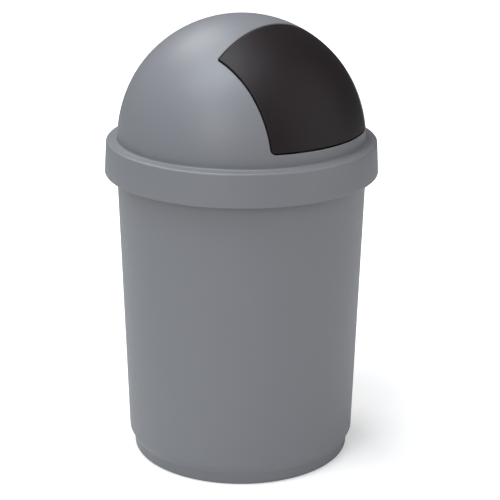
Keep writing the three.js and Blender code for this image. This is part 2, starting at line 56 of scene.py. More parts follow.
BUCKET_HEIGHT = 484.5
BUCKET_WALL = 2.4
BODY_TOP_RADIUS = 186.3
BODY_BOTTOM_RADIUS = 172.7
FOOT_TOP_RADIUS = 165.6
FOOT_BOTTOM_RADIUS = 165.1
FOOT_HEIGHT = 17.0
FOOT_STEP_TOP = 30.3
BASE_THICKNESS = 3.0
BASE_RECESS_RADIUS = 134.0
BASE_RECESS_SLOPE = 4.0
BASE_RECESS_DEPTH = 4.0
RIM_RADIUS = 196.6
RIM_DROP = 22.0
RIM_WALL = 2.2
RIM_WEB_HEIGHT = 17.0
RIM_WEB_THICKNESS = 2.0
BASE_RIB_START = 18.0
BASE_RIB_THICKNESS = 2.4
BASE_RIB_BOTTOM = 1.2
RIB_SINK = 0.5

LID_WALL = 2.4
SHELF_UNDERSIDE = 484.8
SHELF_TOP = 487.2
SKIRT_RADIUS = 203.1
SKIRT_TOP_RADIUS = 200.2
SKIRT_BOTTOM = 438.3
SHOULDER_RADIUS = 3.3
GRIP_RIB_GAP = 0.4
GRIP_RIB_THICKNESS = 2.4
GRIP_RIB_TOP_DROP = 8.0
GRIP_RIB_BOTTOM_DROP = 36.0
DOME_RADIUS = 184.26
DOME_HEIGHT = 192.6
DOME_SPRING = 476.9
DOME_HEIGHT_POWER = 2.139
DOME_RADIUS_POWER = 1.969

SILL = 507.0
MOUTH_BACK_REACH = 51.9
MOUTH_HALF_WIDTH = 105.7
MOUTH_HUB = (0.0, -0.93)   # the middle of the mouth in the flat picture of the dome
MOUTH_SIDE_TAPER = 0.0415
MOUTH_BACK_CORNER = 3.0
MOUTH_SILL_CORNER = 6.0
MOUTH_LIP_DEPTH = 9.0
MOUTH_LIP_NOSE = 0.7
SILL_SLOPE = 1.25
SILL_FADE = 8.0

FLAP_WALL = 2.2
FLAP_LIP_DEPTH = 8.0
FLAP_LIP_NOSE = 0.6
FLAP_HEEL = 0.7
FLAP_SIDE_GAP = 1.4
FLAP_END_GAP = 1.5
PIVOT = (-94.0, 584.0)
PIVOT_LUG_RADIUS = 9.5
PIVOT_LUG_ROOT_RADIUS = 17.0
PIN_HOLE_RADIUS = 3.3
PIN_BOSS_RADIUS = 7.0
PIN_BOSS_HEIGHT = 2.0
BAR = (-59.0, 553.0)
BAR_SOCKET_RADIUS = 7.8
BAR_SOCKET_DEPTH = 9.0
BAR_HOLE_RADIUS = 5.3
STOP_TONGUE = (40.0, 64.0)   # from and to, out from the middle plane
ARM_SLIP = 0.02

PIN_RADIUS = 3.0
PIN_HEAD_RADIUS = 5.5
PIN_HEAD_THICKNESS = 2.0
PIN_TIP_RADIUS = 2.2
PIN_TIP_TAPER = 0.8
BAR_RADIUS = 5.0
BAR_CHAMFER = 1.0
END_PLAY = 0.3

# Facets and softened edges
TURN_STEPS = 192
EDGE_STEPS = 6
MOULDED_EDGE = 0.4 * MM
CREASE = math.radians(35)
SHELL_CREASE = math.radians(50)
WELD = 0.002 * MM
SLIVER = 0.001 * MM


# ---- Small helpers ----


def linear(value):
    """One sRGB channel, 0 to 1, as linear light."""
    return value / 12.92 if value <= 0.04045 else ((value + 0.055) / 1.055) ** 2.4


def from_hex(code):
    """An sRGB hex colour as a linear RGBA tuple."""
    return tuple(linear(int(code[i:i + 2], 16) / 255) for i in (0, 2, 4)) + (1.0,)


def smooth(t):
    """A soft step from 0 to 1 as t goes from 0 to 1."""
    t = min(max(t, 0.0), 1.0)
    return t * t * (3 - 2 * t)


def spread(start, end, steps):
    """Evenly spaced values from start to end, both ends kept."""
    return [start + (end - start) * i / steps for i in range(steps + 1)]


def rounded(corners, steps):
    """Points along corners (a, b, radius): a corner with a radius becomes an arc of so many steps."""
    points = []
    for i, corner in enumerate(corners):
        place = Vector(corner[:2])
        if len(corner) < 3:
            points.append(place)
            continue
        radius = corner[2]
        back = (Vector(corners[i - 1][:2]) - place).normalized()
        ahead = (Vector(corners[(i + 1) % len(corners)][:2]) - place).normalized()
        half = back.angle(ahead) / 2
        centre = place + (back + ahead).normalized() * radius / math.sin(half)
        first = place + back * radius / math.tan(half) - centre
        last = place + ahead * radius / math.tan(half) - centre
        for k in range(steps + 1):
            points.append(centre + first.slerp(last, k / steps) * radius)
    return [tuple(p) for p in points]


def subdivided(points, longest):
    """The same outline with no step longer than the given length."""
    out = [points[0]]
    for a, b in zip(points, points[1:]):
        steps = max(1, math.ceil((Vector(b) - Vector(a)).length / longest))
        out += [tuple(Vector(a).lerp(Vector(b), k / steps)) for k in range(1, steps + 1)]
    return out


def finish_mesh(name, bm, sharp=CREASE):
    """Welds a bmesh, turns its faces outwards and makes it an object at the origin."""
    bmesh.ops.remove_doubles(bm, verts=bm.verts, dist=WELD)
    bmesh.ops.dissolve_degenerate(bm, edges=bm.edges, dist=SLIVER)
    bmesh.ops.recalc_face_normals(bm, faces=bm.faces)
    mesh = bpy.data.meshes.new(name)
    bm.to_mesh(mesh)
    bm.free()
    mesh.shade_smooth()
    mesh.set_sharp_from_angle(angle=sharp)
    piece = bpy.data.objects.new(name, mesh)
    bpy.context.scene.collection.objects.link(piece)
    return piece


def add_rows(bm, rows, close_rows=False, close_columns=False):
    """Quads through a grid of points in millimetres: rows of equal length."""
    grid = [[bm.verts.new(Vector(p) * MM) for p in row] for row in rows]
    count = len(rows[0])
    last_row = len(rows) if close_columns else len(rows) - 1
    last_column = count if close_rows else count - 1
    for i in range(last_row):
        for j in range(last_column):
            i2, j2 = (i + 1) % len(rows), (j + 1) % count
            bm.faces.new((grid[i][j], grid[i][j2], grid[i2][j2], grid[i2][j]))
    return grid


def spun(name, profile, steps, place):
    """A profile of (radius, way along an axis) turned round the axis. place gives the point at a
    radius, a way along and a turn; a profile's ends on the axis close there."""
    turns = [2 * math.pi * k / steps for k in range(steps)]
    bm = bmesh.new()
    add_rows(bm, [[place(r, along, t) for t in turns] for r, along in profile], close_rows=True)
    return finish_mesh(name, bm)


def turned_across(name, profile, centre, steps=64):
    """A profile of (radius, x) turned round a line along X through centre (y, z)."""
    y, z = centre
    return spun(name, profile, steps, lambda r, x, t: (x, y + r * math.cos(t), z + r * math.sin(t)))


def bake(piece):
    """Applies an object's modifiers to its mesh and removes them."""
    graph = bpy.context.evaluated_depsgraph_get()
    mesh = bpy.data.meshes.new_from_object(piece.evaluated_get(graph), depsgraph=graph)
    old = piece.data
    piece.modifiers.clear()
    piece.data = mesh
    mesh.name = piece.name
    bpy.data.meshes.remove(old)
    return piece


def combine(piece, tools, operation):
    """Joins the tools to the piece, cuts them from it or keeps what they share."""
    for tool in tools:
        modifier = piece.modifiers.new("combine", "BOOLEAN")
        modifier.operation = operation
        modifier.solver = "MANIFOLD"
        modifier.object = tool
        bpy.context.view_layer.update()
        bake(piece)
        bpy.data.objects.remove(tool)
    return piece


def welded(piece):
    """Closes up the slivers that joins and cuts leave behind."""
    bm = bmesh.new()
    bm.from_mesh(piece.data)
    bmesh.ops.remove_doubles(bm, verts=bm.verts, dist=WELD)
    bmesh.ops.dissolve_degenerate(bm, edges=bm.edges, dist=SLIVER)
    bm.to_mesh(piece.data)
    bm.free()
    return piece


def smooth_shaded(piece, sharp=CREASE):
    """Shades a piece smooth, but for edges that turn by more than an angle."""
    piece.data.shade_smooth()
    piece.data.set_sharp_from_angle(angle=sharp)
    return piece


def bevelled(piece, width=MOULDED_EDGE):
    """Rounds every sharp edge of a piece."""
    modifier = piece.modifiers.new("edges", "BEVEL")
    modifier.width = width
    modifier.segments = 2
    modifier.limit_method = "ANGLE"
    modifier.angle_limit = math.radians(40)
    return bake(piece)


def dress(piece, body, material, replaces=()):
    """Gives a piece its material, and places it in the frame."""
    piece.data.materials.clear()
    piece.data.materials.append(material)
    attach(piece, body)
    if replaces:
        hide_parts(*replaces)
    return piece


# ---- Dome form ----
# The outline follows (r/R)^p + (h/H)^q = 1; an angle of 0 is the base and a quarter turn the crown.


def dome_gradient(r, h):
    """How fast the left side of that formula grows, outwards and upwards, at a radius and a height
    above the dome's spring."""
    radial = DOME_RADIUS_POWER / DOME_RADIUS * (r / DOME_RADIUS) ** (DOME_RADIUS_POWER - 1)
    up = DOME_HEIGHT_POWER / DOME_HEIGHT * (h / DOME_HEIGHT) ** (DOME_HEIGHT_POWER - 1)
    return radial, up


def dome_slope(r, h):
    """Outward direction (radial, up) of the dome."""
    return Vector(dome_gradient(r, h)).normalized()


def dome_point(angle, inset=0.0):
    """Radius and height of the dome at an angle, moved in square to its face by an inset."""
    r = DOME_RADIUS * max(math.cos(angle), 0.0) ** (2 / DOME_RADIUS_POWER)
    h = DOME_HEIGHT * math.sin(angle) ** (2 / DOME_HEIGHT_POWER)
    slope = dome_slope(r, h)
    return r - inset * slope.x, DOME_SPRING + h - inset * slope.y


def dome_angle_at(z):
    """The angle at which the dome has a height."""
    return math.asin(((z - DOME_SPRING) / DOME_HEIGHT) ** (DOME_HEIGHT_POWER / 2))


def dome_angle_for(radius):
    """The angle at which the dome has a radius."""
    return math.acos(min((radius / DOME_RADIUS) ** (DOME_RADIUS_POWER / 2), 1.0))


def dome_radius_at(z):
    """The dome's radius at a height."""
    return dome_point(dome_angle_at(z))[0]


def dome_normal(point):
    """The outward direction of the dome beside a point."""
    r = math.hypot(point[0], point[1])
    slope = dome_slope(r, max(point[2] - DOME_SPRING, 0.0))
    if r < 1e-9:
        return Vector((0, 0, 1))
    return Vector((slope.x * point[0] / r, slope.x * point[1] / r, slope.y))


def dome_depth(point):
    """How far inside the dome's outer face a point lies, near enough for a thin wall."""
    r = math.hypot(point[0], point[1])
    h = point[2] - DOME_SPRING
    share = (r / DOME_RADIUS) ** DOME_RADIUS_POWER + (h / DOME_HEIGHT) ** DOME_HEIGHT_POWER
    return (1 - share) / math.hypot(*dome_gradient(r, h))


def settled(point, inset):
    """The point moved square to the dome until it lies at the given inset."""
    place = Vector(point)
    for _ in range(4):
        place += dome_normal(place) * (dome_depth(place) - inset)
    return place


def crown_place(point):
    """A point of the dome in a flat picture of it: the crown in the middle, the base a circle."""
    radius = math.hypot(point[0], point[1])
    reach = math.pi / 2 - dome_angle_for(min(radius, DOME_RADIUS))
    return Vector((point[0], point[1])) * (reach / radius)


def from_crown_place(place, inset):
    """The point of the dome, or of a face inside it, that a place in the flat picture stands for."""
    reach = place.length
    r, z = dome_point(math.pi / 2 - reach, inset)
    direction = place / reach if reach > 1e-9 else Vector((0, -1))
    return Vector((r * direction.x, r * direction.y, z))


def laid(point, inset):
    """The point moved square to the dome onto the surface at an inset from its outer face."""
    return from_crown_place(crown_place(settled(point, 0.0)), inset)


# ---- Mouth form ----


def mouth_half_width(reach, gap=0.0):
    """Half width of the mouth at a reach forward of the axis, less a gap square to its side."""
    at_back = MOUTH_HALF_WIDTH - MOUTH_SIDE_TAPER * (reach - MOUTH_BACK_REACH)
    return at_back - gap * math.hypot(1, MOUTH_SIDE_TAPER)


def reach_on_circle(radius, gap=0.0):
    """How far forward a side of the mouth meets a circle of the given radius."""
    at_axis = mouth_half_width(0, gap)
    square = 1 + MOUTH_SIDE_TAPER ** 2
    root = math.sqrt(square * radius * radius - at_axis * at_axis)
    return (MOUTH_SIDE_TAPER * at_axis + root) / square


class Station:
    """A point on an edge in the dome: its place, the wall's direction there, and how much of the
    turned-in lip it has, from 0 to 1. prepare adds the dome's normal and the way in along the lip."""

    def __init__(self, place, wall, lip):
        self.place = Vector(place)
        self.wall = Vector(wall).normalized()
        self.lip = lip

    def prepare(self, along, sign):
        """Sets the wall's normal square to the edge, facing out of the material."""
        self.skin = dome_normal(self.place)
        self.skin = (self.skin - along * self.skin.dot(along)).normalized()
        self.wall = (self.wall - along * self.wall.dot(along)).normalized() * sign
        inward = along.cross(self.wall)
        self.inward = -inward if inward.dot(self.skin) > 0 else inward


def edge_stations(side_gap, back_gap, sill_gap, counts, sign):
    """The right half of an edge round the mouth, from the sill's middle to the back's.
    counts are the steps on the sill, half the sill corner, the side, half the back corner and the
    back. sign is 1 where the material is inside the outline, and -1 where it is outside."""
    on_sill, on_sill_corner, on_side, on_back_corner, on_back = counts
    sill = SILL + sill_gap
    corner = MOUTH_SILL_CORNER - side_gap
    back = MOUTH_BACK_REACH + back_gap
    back_corner = MOUTH_BACK_CORNER - side_gap
    lean = math.atan(MOUTH_SIDE_TAPER)
    out = Vector((math.cos(lean), -math.sin(lean), 0))

    def side_x(z):
        reach = reach_on_circle(dome_radius_at(z), side_gap)
        return mouth_half_width(reach, side_gap)

    stations = []

    def on_front(x, z, wall, lip):
        stations.append(Station((x, -math.sqrt(dome_radius_at(z) ** 2 - x * x), z), wall, lip))

    for x in spread(0, side_x(sill) - corner, on_sill):
        on_front(x, sill, (0, 0, -1), 0.0)
    for k in range(1, 2 * on_sill_corner + 1):
        turn = math.pi / 2 * (k / (2 * on_sill_corner) - 1)
        z = sill + corner * (1 + math.sin(turn))
        wall = out * math.cos(turn) + Vector((0, 0, math.sin(turn)))
        lip = smooth(k / (2 * on_sill_corner))
        on_front(side_x(z) - corner * (1 - math.cos(turn)), z, wall, lip)
    corner_reach = back + back_corner
    centre_x = mouth_half_width(corner_reach, side_gap + back_corner)
    last = (centre_x + back_corner * math.cos(lean), -corner_reach - back_corner * math.sin(lean))
    start_angle = dome_angle_at(sill + corner)
    for angle in spread(start_angle, dome_angle_for(math.hypot(*last)), on_side)[1:]:
        radius, z = dome_point(angle)
        reach = reach_on_circle(radius, side_gap)
        stations.append(Station((mouth_half_width(reach, side_gap), -reach, z), out, 1.0))

    def on_plan(x, y, wall):
        z = dome_point(dome_angle_for(math.hypot(x, y)))[1]
        stations.append(Station((x, y, z), wall, 1.0))

    for turn in spread(-lean, math.pi / 2, 2 * on_back_corner)[1:]:
        wall = (math.cos(turn), math.sin(turn), 0)
        on_plan(centre_x + back_corner * wall[0], -corner_reach + back_corner * wall[1], wall)
    for x in spread(centre_x, 0, on_back)[1:]:
        on_plan(x, -back, (0, 1, 0))

    for i, station in enumerate(stations[1:-1], 1):
        along = stations[i + 1].place - stations[i - 1].place
        station.prepare(along.normalized(), sign)
    stations[0].prepare(Vector((1, 0, 0)), sign)
    stations[-1].prepare(Vector((-1, 0, 0)), sign)
    return stations


def rolled(station, radius, steps):
    """Arc of the given radius from the dome's face over the edge onto the wall."""
    between = station.skin + station.wall
    centre = station.place - between * radius / (1 + station.skin.dot(station.wall))
    points = [centre + station.skin.slerp(station.wall, k / steps) * radius for k in range(steps + 1)]
    points[0] = laid(points[0], 0.0)
    return points


def mirrored(points):
    """The points on the other side of the middle plane."""
    return [Vector((-p[0], p[1], p[2])) for p in points]


def whole_loop(half):
    """A closed loop from its right half, whose first and last items lie on the middle plane."""
    left = [mirrored(section) for section in half[-2:0:-1]]
    return half + left


def lip_section(station, wall, depth, nose, middle):
    """A turned-in lip: down its near side, with a point at the given share of the way, round its
    nose and up its far side to the inner face."""
    lean = station.wall.dot(station.skin)
    fall = -station.inward.dot(station.skin)
    back = -station.wall * wall
    tip = station.place + station.inward * ((wall + depth) / fall)
    root = station.place + back + station.inward * (wall * (1 - lean) / fall)
    short = station.inward * nose
    return [
        station.place.lerp(tip, middle),
        tip - short,
        tip - short * 0.3 + back * 0.09,
        tip + back * 0.3,
        tip + back * 0.7,
        tip - short * 0.3 + back * 0.91,
        tip - short + back,
        (tip + back).lerp(root, 0.5),
        root,
    ]


# ---- Node trees ----


def add_node(tree, kind, inputs=None, **settings):
    """Adds a node, sets its properties, and gives each input a value, a link from a socket, or a
    link from the first output in use of another node."""
    node = tree.nodes.new(kind)
    for key, value in settings.items():
        setattr(node, key, value)
    for key, value in (inputs or {}).items():
        if isinstance(value, bpy.types.Node):
            value = next(output for output in value.outputs if output.enabled)
        if isinstance(value, bpy.types.NodeSocket):
            tree.links.new(value, node.inputs[key])
        else:
            node.inputs[key].default_value = value
    return node


def geometry_tree(name, counts, lengths):
    """A Geometry Nodes tree whose inputs are counts, lengths and a material, and its inputs."""
    tree = bpy.data.node_groups.new(name, "GeometryNodeTree")
    for label in counts:
        tree.interface.new_socket(label, in_out="INPUT", socket_type="NodeSocketInt")
    for label in lengths:
        socket = tree.interface.new_socket(label, in_out="INPUT", socket_type="NodeSocketFloat")
        socket.subtype = "DISTANCE"
    tree.interface.new_socket("Material", in_out="INPUT", socket_type="NodeSocketMaterial")
    tree.interface.new_socket("Geometry", in_out="OUTPUT", socket_type="NodeSocketGeometry")
    given = add_node(tree, "NodeGroupInput")
    return tree, {socket.name: socket for socket in given.outputs if socket.name}


def add_sums(tree, sockets, sums):
    """Adds values of the form a + factor × b to the named sockets."""
    for label, (a, factor, b) in sums.items():
        total = add_node(tree, "ShaderNodeMath", {
            0: sockets[b], 1: factor, 2: sockets[a],
        }, operation="MULTIPLY_ADD")
        sockets[label] = total.outputs[0]


def finish_tree(tree, geometry, material):
    """Ends a tree: its instances made real, with their material."""
    real = add_node(tree, "GeometryNodeRealizeInstances", {0: geometry})
    done = add_node(tree, "GeometryNodeSetMaterial", {0: real, "Material": material})
    add_node(tree, "NodeGroupOutput", {0: done})


def grown(name, tree, values):
    """A plain mesh object made by a node tree from its named inputs."""
    piece = bpy.data.objects.new(name, bpy.data.meshes.new(name))
    bpy.context.scene.collection.objects.link(piece)
    modifier = piece.modifiers.new("nodes", "NODES")
    modifier.node_group = tree
    for item in tree.interface.items_tree:
        if item.in_out == "INPUT":
            modifier[item.identifier] = values[item.name]
    bpy.context.view_layer.update()
    return bake(piece)


def upright_ribs_tree():
    """Node tree: upright ribs set round the axis, each running out from an inner radius."""
    lengths = ("Inner radius", "Length", "Thickness", "Bottom", "Height")
    tree, size = geometry_tree("Upright ribs round an axis", ("Count",), lengths)
    add_sums(tree, size, {
        "Middle radius": ("Inner radius", 0.5, "Length"),
        "Middle height": ("Bottom", 0.5, "Height"),
    })
    extent = add_node(tree, "ShaderNodeCombineXYZ", {
        "X": size["Length"], "Y": size["Thickness"], "Z": size["Height"],
    })
    middle = add_node(tree, "ShaderNodeCombineXYZ", {
        "X": size["Middle radius"], "Z": size["Middle height"],
    })
    rib = add_node(tree, "GeometryNodeMeshCube", {"Size": extent})
    moved = add_node(tree, "GeometryNodeTransform", {
        "Geometry": rib, "Translation": middle,
    })
    points = add_node(tree, "GeometryNodePoints", {"Count": size["Count"]})
    index = add_node(tree, "GeometryNodeInputIndex")
    share = add_node(tree, "ShaderNodeMath", {0: index, 1: 0.5}, operation="ADD")
    turn = add_node(tree, "ShaderNodeMath", {0: share, 1: size["Count"]}, operation="DIVIDE")
    angle = add_node(tree, "ShaderNodeMath", {0: turn, 1: 2 * math.pi}, operation="MULTIPLY")
    rotation = add_node(tree, "ShaderNodeCombineXYZ", {"Z": angle})
    ribs = add_node(tree, "GeometryNodeInstanceOnPoints", {
        "Points": points, "Instance": moved, "Rotation": rotation,
    })
    finish_tree(tree, ribs, size["Material"])
    return tree


def upright_ribs(name, material, count, inner, outer, thickness, bottom, top):
    """Ribs made by the node tree, with softened edges. They run from the inner radius to the outer
    and from the bottom to the top, and end inside the walls that they stiffen."""
    ribs = grown(name, upright_ribs_tree(), {
        "Count": count,
        "Inner radius": inner * MM,
        "Length": (outer - inner) * MM,
        "Thickness": thickness * MM,
        "Bottom": bottom * MM,
        "Height": (top - bottom) * MM,
        "Material": material,
    })
    return smooth_shaded(bevelled(ribs))


# ---- Dome lid ----


def lid_section(station, edge_round):
    """Points from the dome's face over the mouth's edge and its turned-in lip to the inner face.
    Where there is no lip, a slope runs straight from the edge to the inner face."""
    arc = rolled(station, edge_round, EDGE_STEPS)
    lip = lip_section(station, LID_WALL, MOUTH_LIP_DEPTH, MOUTH_LIP_NOSE, 0.45)
    slope = (station.inward - station.wall * SILL_SLOPE).normalized()
    edge = arc[-1]
    run = (LID_WALL - dome_depth(edge)) / -slope.dot(station.skin)
    plain = [edge + slope * run * k / len(lip) for k in range(1, len(lip) + 1)]
    tail = [a.lerp(b, station.lip) for a, b in zip(plain, lip)]
    tail[-1] = laid(tail[-1], LID_WALL)
    return arc + tail


def dome_rays(edge, base_reach, inset, shares, steady):
    """Rows that spread from an edge in the dome out to the circle at its base. Each row is at one
    of the shares along rays from the middle of the mouth; the first ones keep to the distances in
    steady, in millimetres."""
    hub = Vector(MOUTH_HUB)
    flat = [crown_place(settled(p, 0.0)) for p in edge]
    ends = []
    for place in flat:
        ray = (place - hub).normalized()
        along = ray.dot(hub)
        ends.append(hub + ray * (-along + math.sqrt(along * along - hub.length_squared + base_reach ** 2)))
    steps = [(distance / DOME_RADIUS, 0.0) for distance in steady]
    steps += [(steady[-1] / DOME_RADIUS, share) for share in shares]
    rows = []
    for reached, share in steps:
        row = []
        for place, end in zip(flat, ends):
            start = reached / (end - place).length
            row.append(from_crown_place(place.lerp(end, start + (1 - start) * share), inset))
        rows.append(row)
    return rows


def around(row, r, z):
    """The row's points moved to a radius and a height, each on its own bearing."""
    bearings = [Vector((p[0], p[1])).normalized() for p in row]
    return [Vector((bearing.x * r, bearing.y * r, z)) for bearing in bearings]


def lid_mesh(edge_round, shelf_round):
    """The lid's shell: loops round the mouth's edge, rows from them down the dome's outer and inner
    faces, and the shelf and the skirt between the two."""
    sections = []
    for station in edge_stations(0, 0, 0, (14, 6, 34, 4, 34), -1):
        above_sill = smooth((station.place.z - SILL) / SILL_FADE)
        sections.append(lid_section(station, edge_round * (1 + above_sill) / 2))
    loop = whole_loop(sections)
    mouth_rows = [[section[k] for section in loop] for k in range(len(loop[0]))]
    outer_base = dome_angle_at(SHELF_TOP + shelf_round * 1.3)
    shares = [t ** 1.15 for t in spread(0, 1, 36)[1:]]
    skin = dome_rays(mouth_rows[0], math.pi / 2 - outer_base, 0.0, shares, (0.8, 2.2, 4.5))
    inner_base = dome_angle_at(SHELF_UNDERSIDE + 0.1)
    inner = dome_rays(mouth_rows[-1], math.pi / 2 - inner_base, LID_WALL, spread(0, 1, 20)[1:], (1.5, 4.0))
    outside = rounded([
        dome_point(outer_base),
        (dome_radius_at(SHELF_TOP), SHELF_TOP, shelf_round),
        (SKIRT_TOP_RADIUS, SHELF_TOP, SHOULDER_RADIUS),
        (SKIRT_RADIUS, SKIRT_BOTTOM, 1.9),
        (SKIRT_RADIUS - LID_WALL, SKIRT_BOTTOM, 0.4),
        (SKIRT_TOP_RADIUS - LID_WALL, SHELF_UNDERSIDE, SHOULDER_RADIUS - LID_WALL),
        (math.hypot(inner[-1][0].x, inner[-1][0].y), SHELF_UNDERSIDE),
    ], 7)[1:-1]
    skirt = [around(skin[-1], r, z) for r, z in subdivided(outside, 16)]
    rows = mouth_rows + inner + skirt[::-1] + skin[::-1]
    bm = bmesh.new()
    add_rows(bm, rows, close_rows=True, close_columns=True)
    return finish_mesh("dome_lid_shell", bm, SHELL_CREASE)


def belt(start, start_radius, end, end_radius, steps=16):
    """Outline round two circles in the side view (y, z)."""
    start, end = Vector(start), Vector(end)
    across = end - start
    heading = math.atan2(across.y, across.x)
    lean = math.acos((start_radius - end_radius) / across.length)
    points = []
    for turn in spread(heading + lean, heading - lean + 2 * math.pi, steps):
        points.append(start + Vector((math.cos(turn), math.sin(turn))) * start_radius)
    for turn in spread(heading - lean, heading + lean, steps):
        points.append(end + Vector((math.cos(turn), math.sin(turn))) * end_radius)
    return points


def lug_root():
    """Where the line from the pivot square to the mouth's side edge reaches the dome."""
    y, z = PIVOT
    step = 5
    half = mouth_half_width(-y)
    edge = math.sqrt(dome_radius_at(z) ** 2 - half ** 2)
    above = math.sqrt(dome_radius_at(z + step) ** 2 - half ** 2)
    slope = (edge - above) / step
    distance = (edge + y) / (1 + slope * slope)
    return y - distance, z + slope * distance


def side_plates(name, outline, outer_gap, inner_gap):
    """A plate along each side of the mouth, between two gaps from its side."""
    bm = bmesh.new()
    for side in (-1, 1):
        faces = []
        for gap in (outer_gap, inner_gap):
            faces.append([(side * mouth_half_width(-y, gap), y, z) for y, z in outline])
        grid = add_rows(bm, faces, close_rows=True)
        for ring in grid:
            bm.faces.new(ring)
    return finish_mesh(name, bm)


def dome_core(name, inset):
    """The space inside the dome at an inset from its outer face."""
    start = dome_angle_at(SHELF_TOP)
    curve = [dome_point(angle, inset) for angle in spread(start, math.pi / 2, 60)]
    curve[-1] = (0, curve[-1][1])
    return spun(name, [(0, curve[0][1])] + curve, 144, lambda r, z, t: (r * math.sin(t), -r * math.cos(t), z))


def rod(name, radius, start, end, centre, edge=0.0):
    """A round bar along X with its ends' edges rounded."""
    if edge:
        profile = rounded([(0, start), (radius, start, edge), (radius, end, edge), (0, end)], 4)
    else:
        profile = [(0, start), (radius, start), (radius, end), (0, end)]
    return turned_across(name, profile, centre)


def both_sides(start, end):
    """A stretch of X on the left side and the same one on the right."""
    return ((-end, -start), (start, end))


# Joined parts start inside each other, and cutting rods run a few millimetres past what they cut.


def build_lid(settings, material):
    lid = lid_mesh(settings.edge_round / MM, settings.shelf_round / MM)
    outline = belt(PIVOT, PIVOT_LUG_RADIUS, lug_root(), PIVOT_LUG_ROOT_RADIUS)
    lugs = side_plates("lugs", outline, ARM_SLIP, -LID_WALL)
    lugs = combine(bevelled(lugs), [dome_core("core", LID_WALL / 2)], "INTERSECT")
    combine(lid, [lugs], "UNION")
    reach = mouth_half_width(-PIVOT[0], -LID_WALL) + 4
    combine(lid, [rod("pin_hole", PIN_HOLE_RADIUS, -reach, reach, PIVOT)], "DIFFERENCE")
    smooth_shaded(welded(lid), SHELL_CREASE)
    dress(lid, "lid", material, ["dome_lid"])
    ribs = upright_ribs(
        "skirt_grip_ribs", material, settings.grip_ribs, RIM_RADIUS + GRIP_RIB_GAP, SKIRT_TOP_RADIUS,
        GRIP_RIB_THICKNESS, SHELF_UNDERSIDE - GRIP_RIB_BOTTOM_DROP, SHELF_UNDERSIDE - GRIP_RIB_TOP_DROP,
    )
    dress(ribs, "lid", material)


# ---- Swing flap ----


def flap_section(station, edge_round, foot_round):
    """Points from the flap's face over its edge and round its turned-in lip to the back face."""
    arc = rolled(station, foot_round + (edge_round - foot_round) * station.lip, EDGE_STEPS)
    lip = lip_section(station, FLAP_WALL, FLAP_LIP_DEPTH, FLAP_LIP_NOSE, 0.5)
    fall = -station.inward.dot(station.skin)
    heel = station.place + station.inward * FLAP_WALL / fall - station.wall * FLAP_HEEL
    edge = arc[-1]
    plain = [edge.lerp(heel, smooth(k / len(lip))) for k in range(1, len(lip) + 1)]
    tail = [a.lerp(b, station.lip) for a, b in zip(plain, lip)]
    tail[-1] = laid(tail[-1], FLAP_WALL)
    return arc + tail


def filled(edge, on_end, on_side, inset):
    """Rows of points that fill half of the flap inside its edge, as a grid on the dome."""
    flat = [crown_place(settled(p, 0.0)) for p in edge]
    foot = flat[:on_end + 1]
    side = flat[on_end:on_end + on_side + 1]
    head = flat[on_end + on_side:][::-1]
    lengths = [0.0]
    for a, b in zip(side, side[1:]):
        lengths.append(lengths[-1] + (b - a).length)
    middle = [foot[0].lerp(head[0], d / lengths[-1]) for d in lengths]
    rows = []
    for i in range(on_side + 1):
        v = i / on_side
        row = []
        for j in range(on_end + 1):
            u = j / on_end
            between_ends = foot[j].lerp(head[j], v)
            between_sides = middle[i].lerp(side[i], u)
            corners = foot[0].lerp(foot[-1], u).lerp(head[0].lerp(head[-1], u), v)
            row.append(from_crown_place(between_ends + between_sides - corners, inset))
        rows.append(row)
    return [[*mirrored(row[:0:-1]), *row] for row in rows]


def flap_mesh(edge_round, foot_round):
    """The flap's shell: loops round its edge, closed by its face and its back."""
    counts = (18, 6, 30, 5, 19)
    on_end = counts[0] + counts[1]
    on_side = counts[1] + counts[2] + counts[3]
    half = edge_stations(FLAP_SIDE_GAP, FLAP_END_GAP, FLAP_END_GAP, counts, 1)
    sections = [flap_section(s, edge_round, foot_round) for s in half]
    loop = whole_loop(sections)
    rows = [[section[k] for section in loop] for k in range(len(loop[0]))]
    bm = bmesh.new()
    add_rows(bm, rows, close_rows=True)
    add_rows(bm, filled([s[0] for s in sections], on_end, on_side, 0.0))
    add_rows(bm, filled([s[-1] for s in sections], on_end, on_side, FLAP_WALL))
    return finish_mesh("swing_flap_shell", bm, SHELL_CREASE)


def stop_tongues():
    """Two tongues below the flap's lower edge that rest against the inside of the sill. Their
    outline is given as insets from the dome's face and heights."""
    outline = rounded([
        (1.3, 516.0),
        (5.1, 516.0, 1.2),
        (5.1, 496.5, 0.9),
        (2.9, 496.5, 0.9),
        (2.9, 509.6),
        (1.3, 509.6),
    ], 4)
    bm = bmesh.new()
    for start, end in both_sides(*STOP_TONGUE):
        rows = []
        for x in spread(start, end, 10):
            row = []
            for inset, z in outline:
                radius = dome_radius_at(max(z, SHELF_TOP)) - inset
                row.append((x, -math.sqrt(radius * radius - x * x), z))
            rows.append(row)
        grid = add_rows(bm, rows, close_rows=True)
        bm.faces.new(grid[0])
        bm.faces.new(grid[-1])
    return finish_mesh("tongues", bm)


def pin_seat():
    """How far from the middle plane the pins' heads bear on the arms' bosses."""
    return mouth_half_width(-PIVOT[0], FLAP_SIDE_GAP + FLAP_WALL) - PIN_BOSS_HEIGHT


def bar_floor():
    """How far from the middle plane the floor of each bar socket is."""
    return mouth_half_width(-BAR[0], FLAP_SIDE_GAP + FLAP_WALL) - 0.5


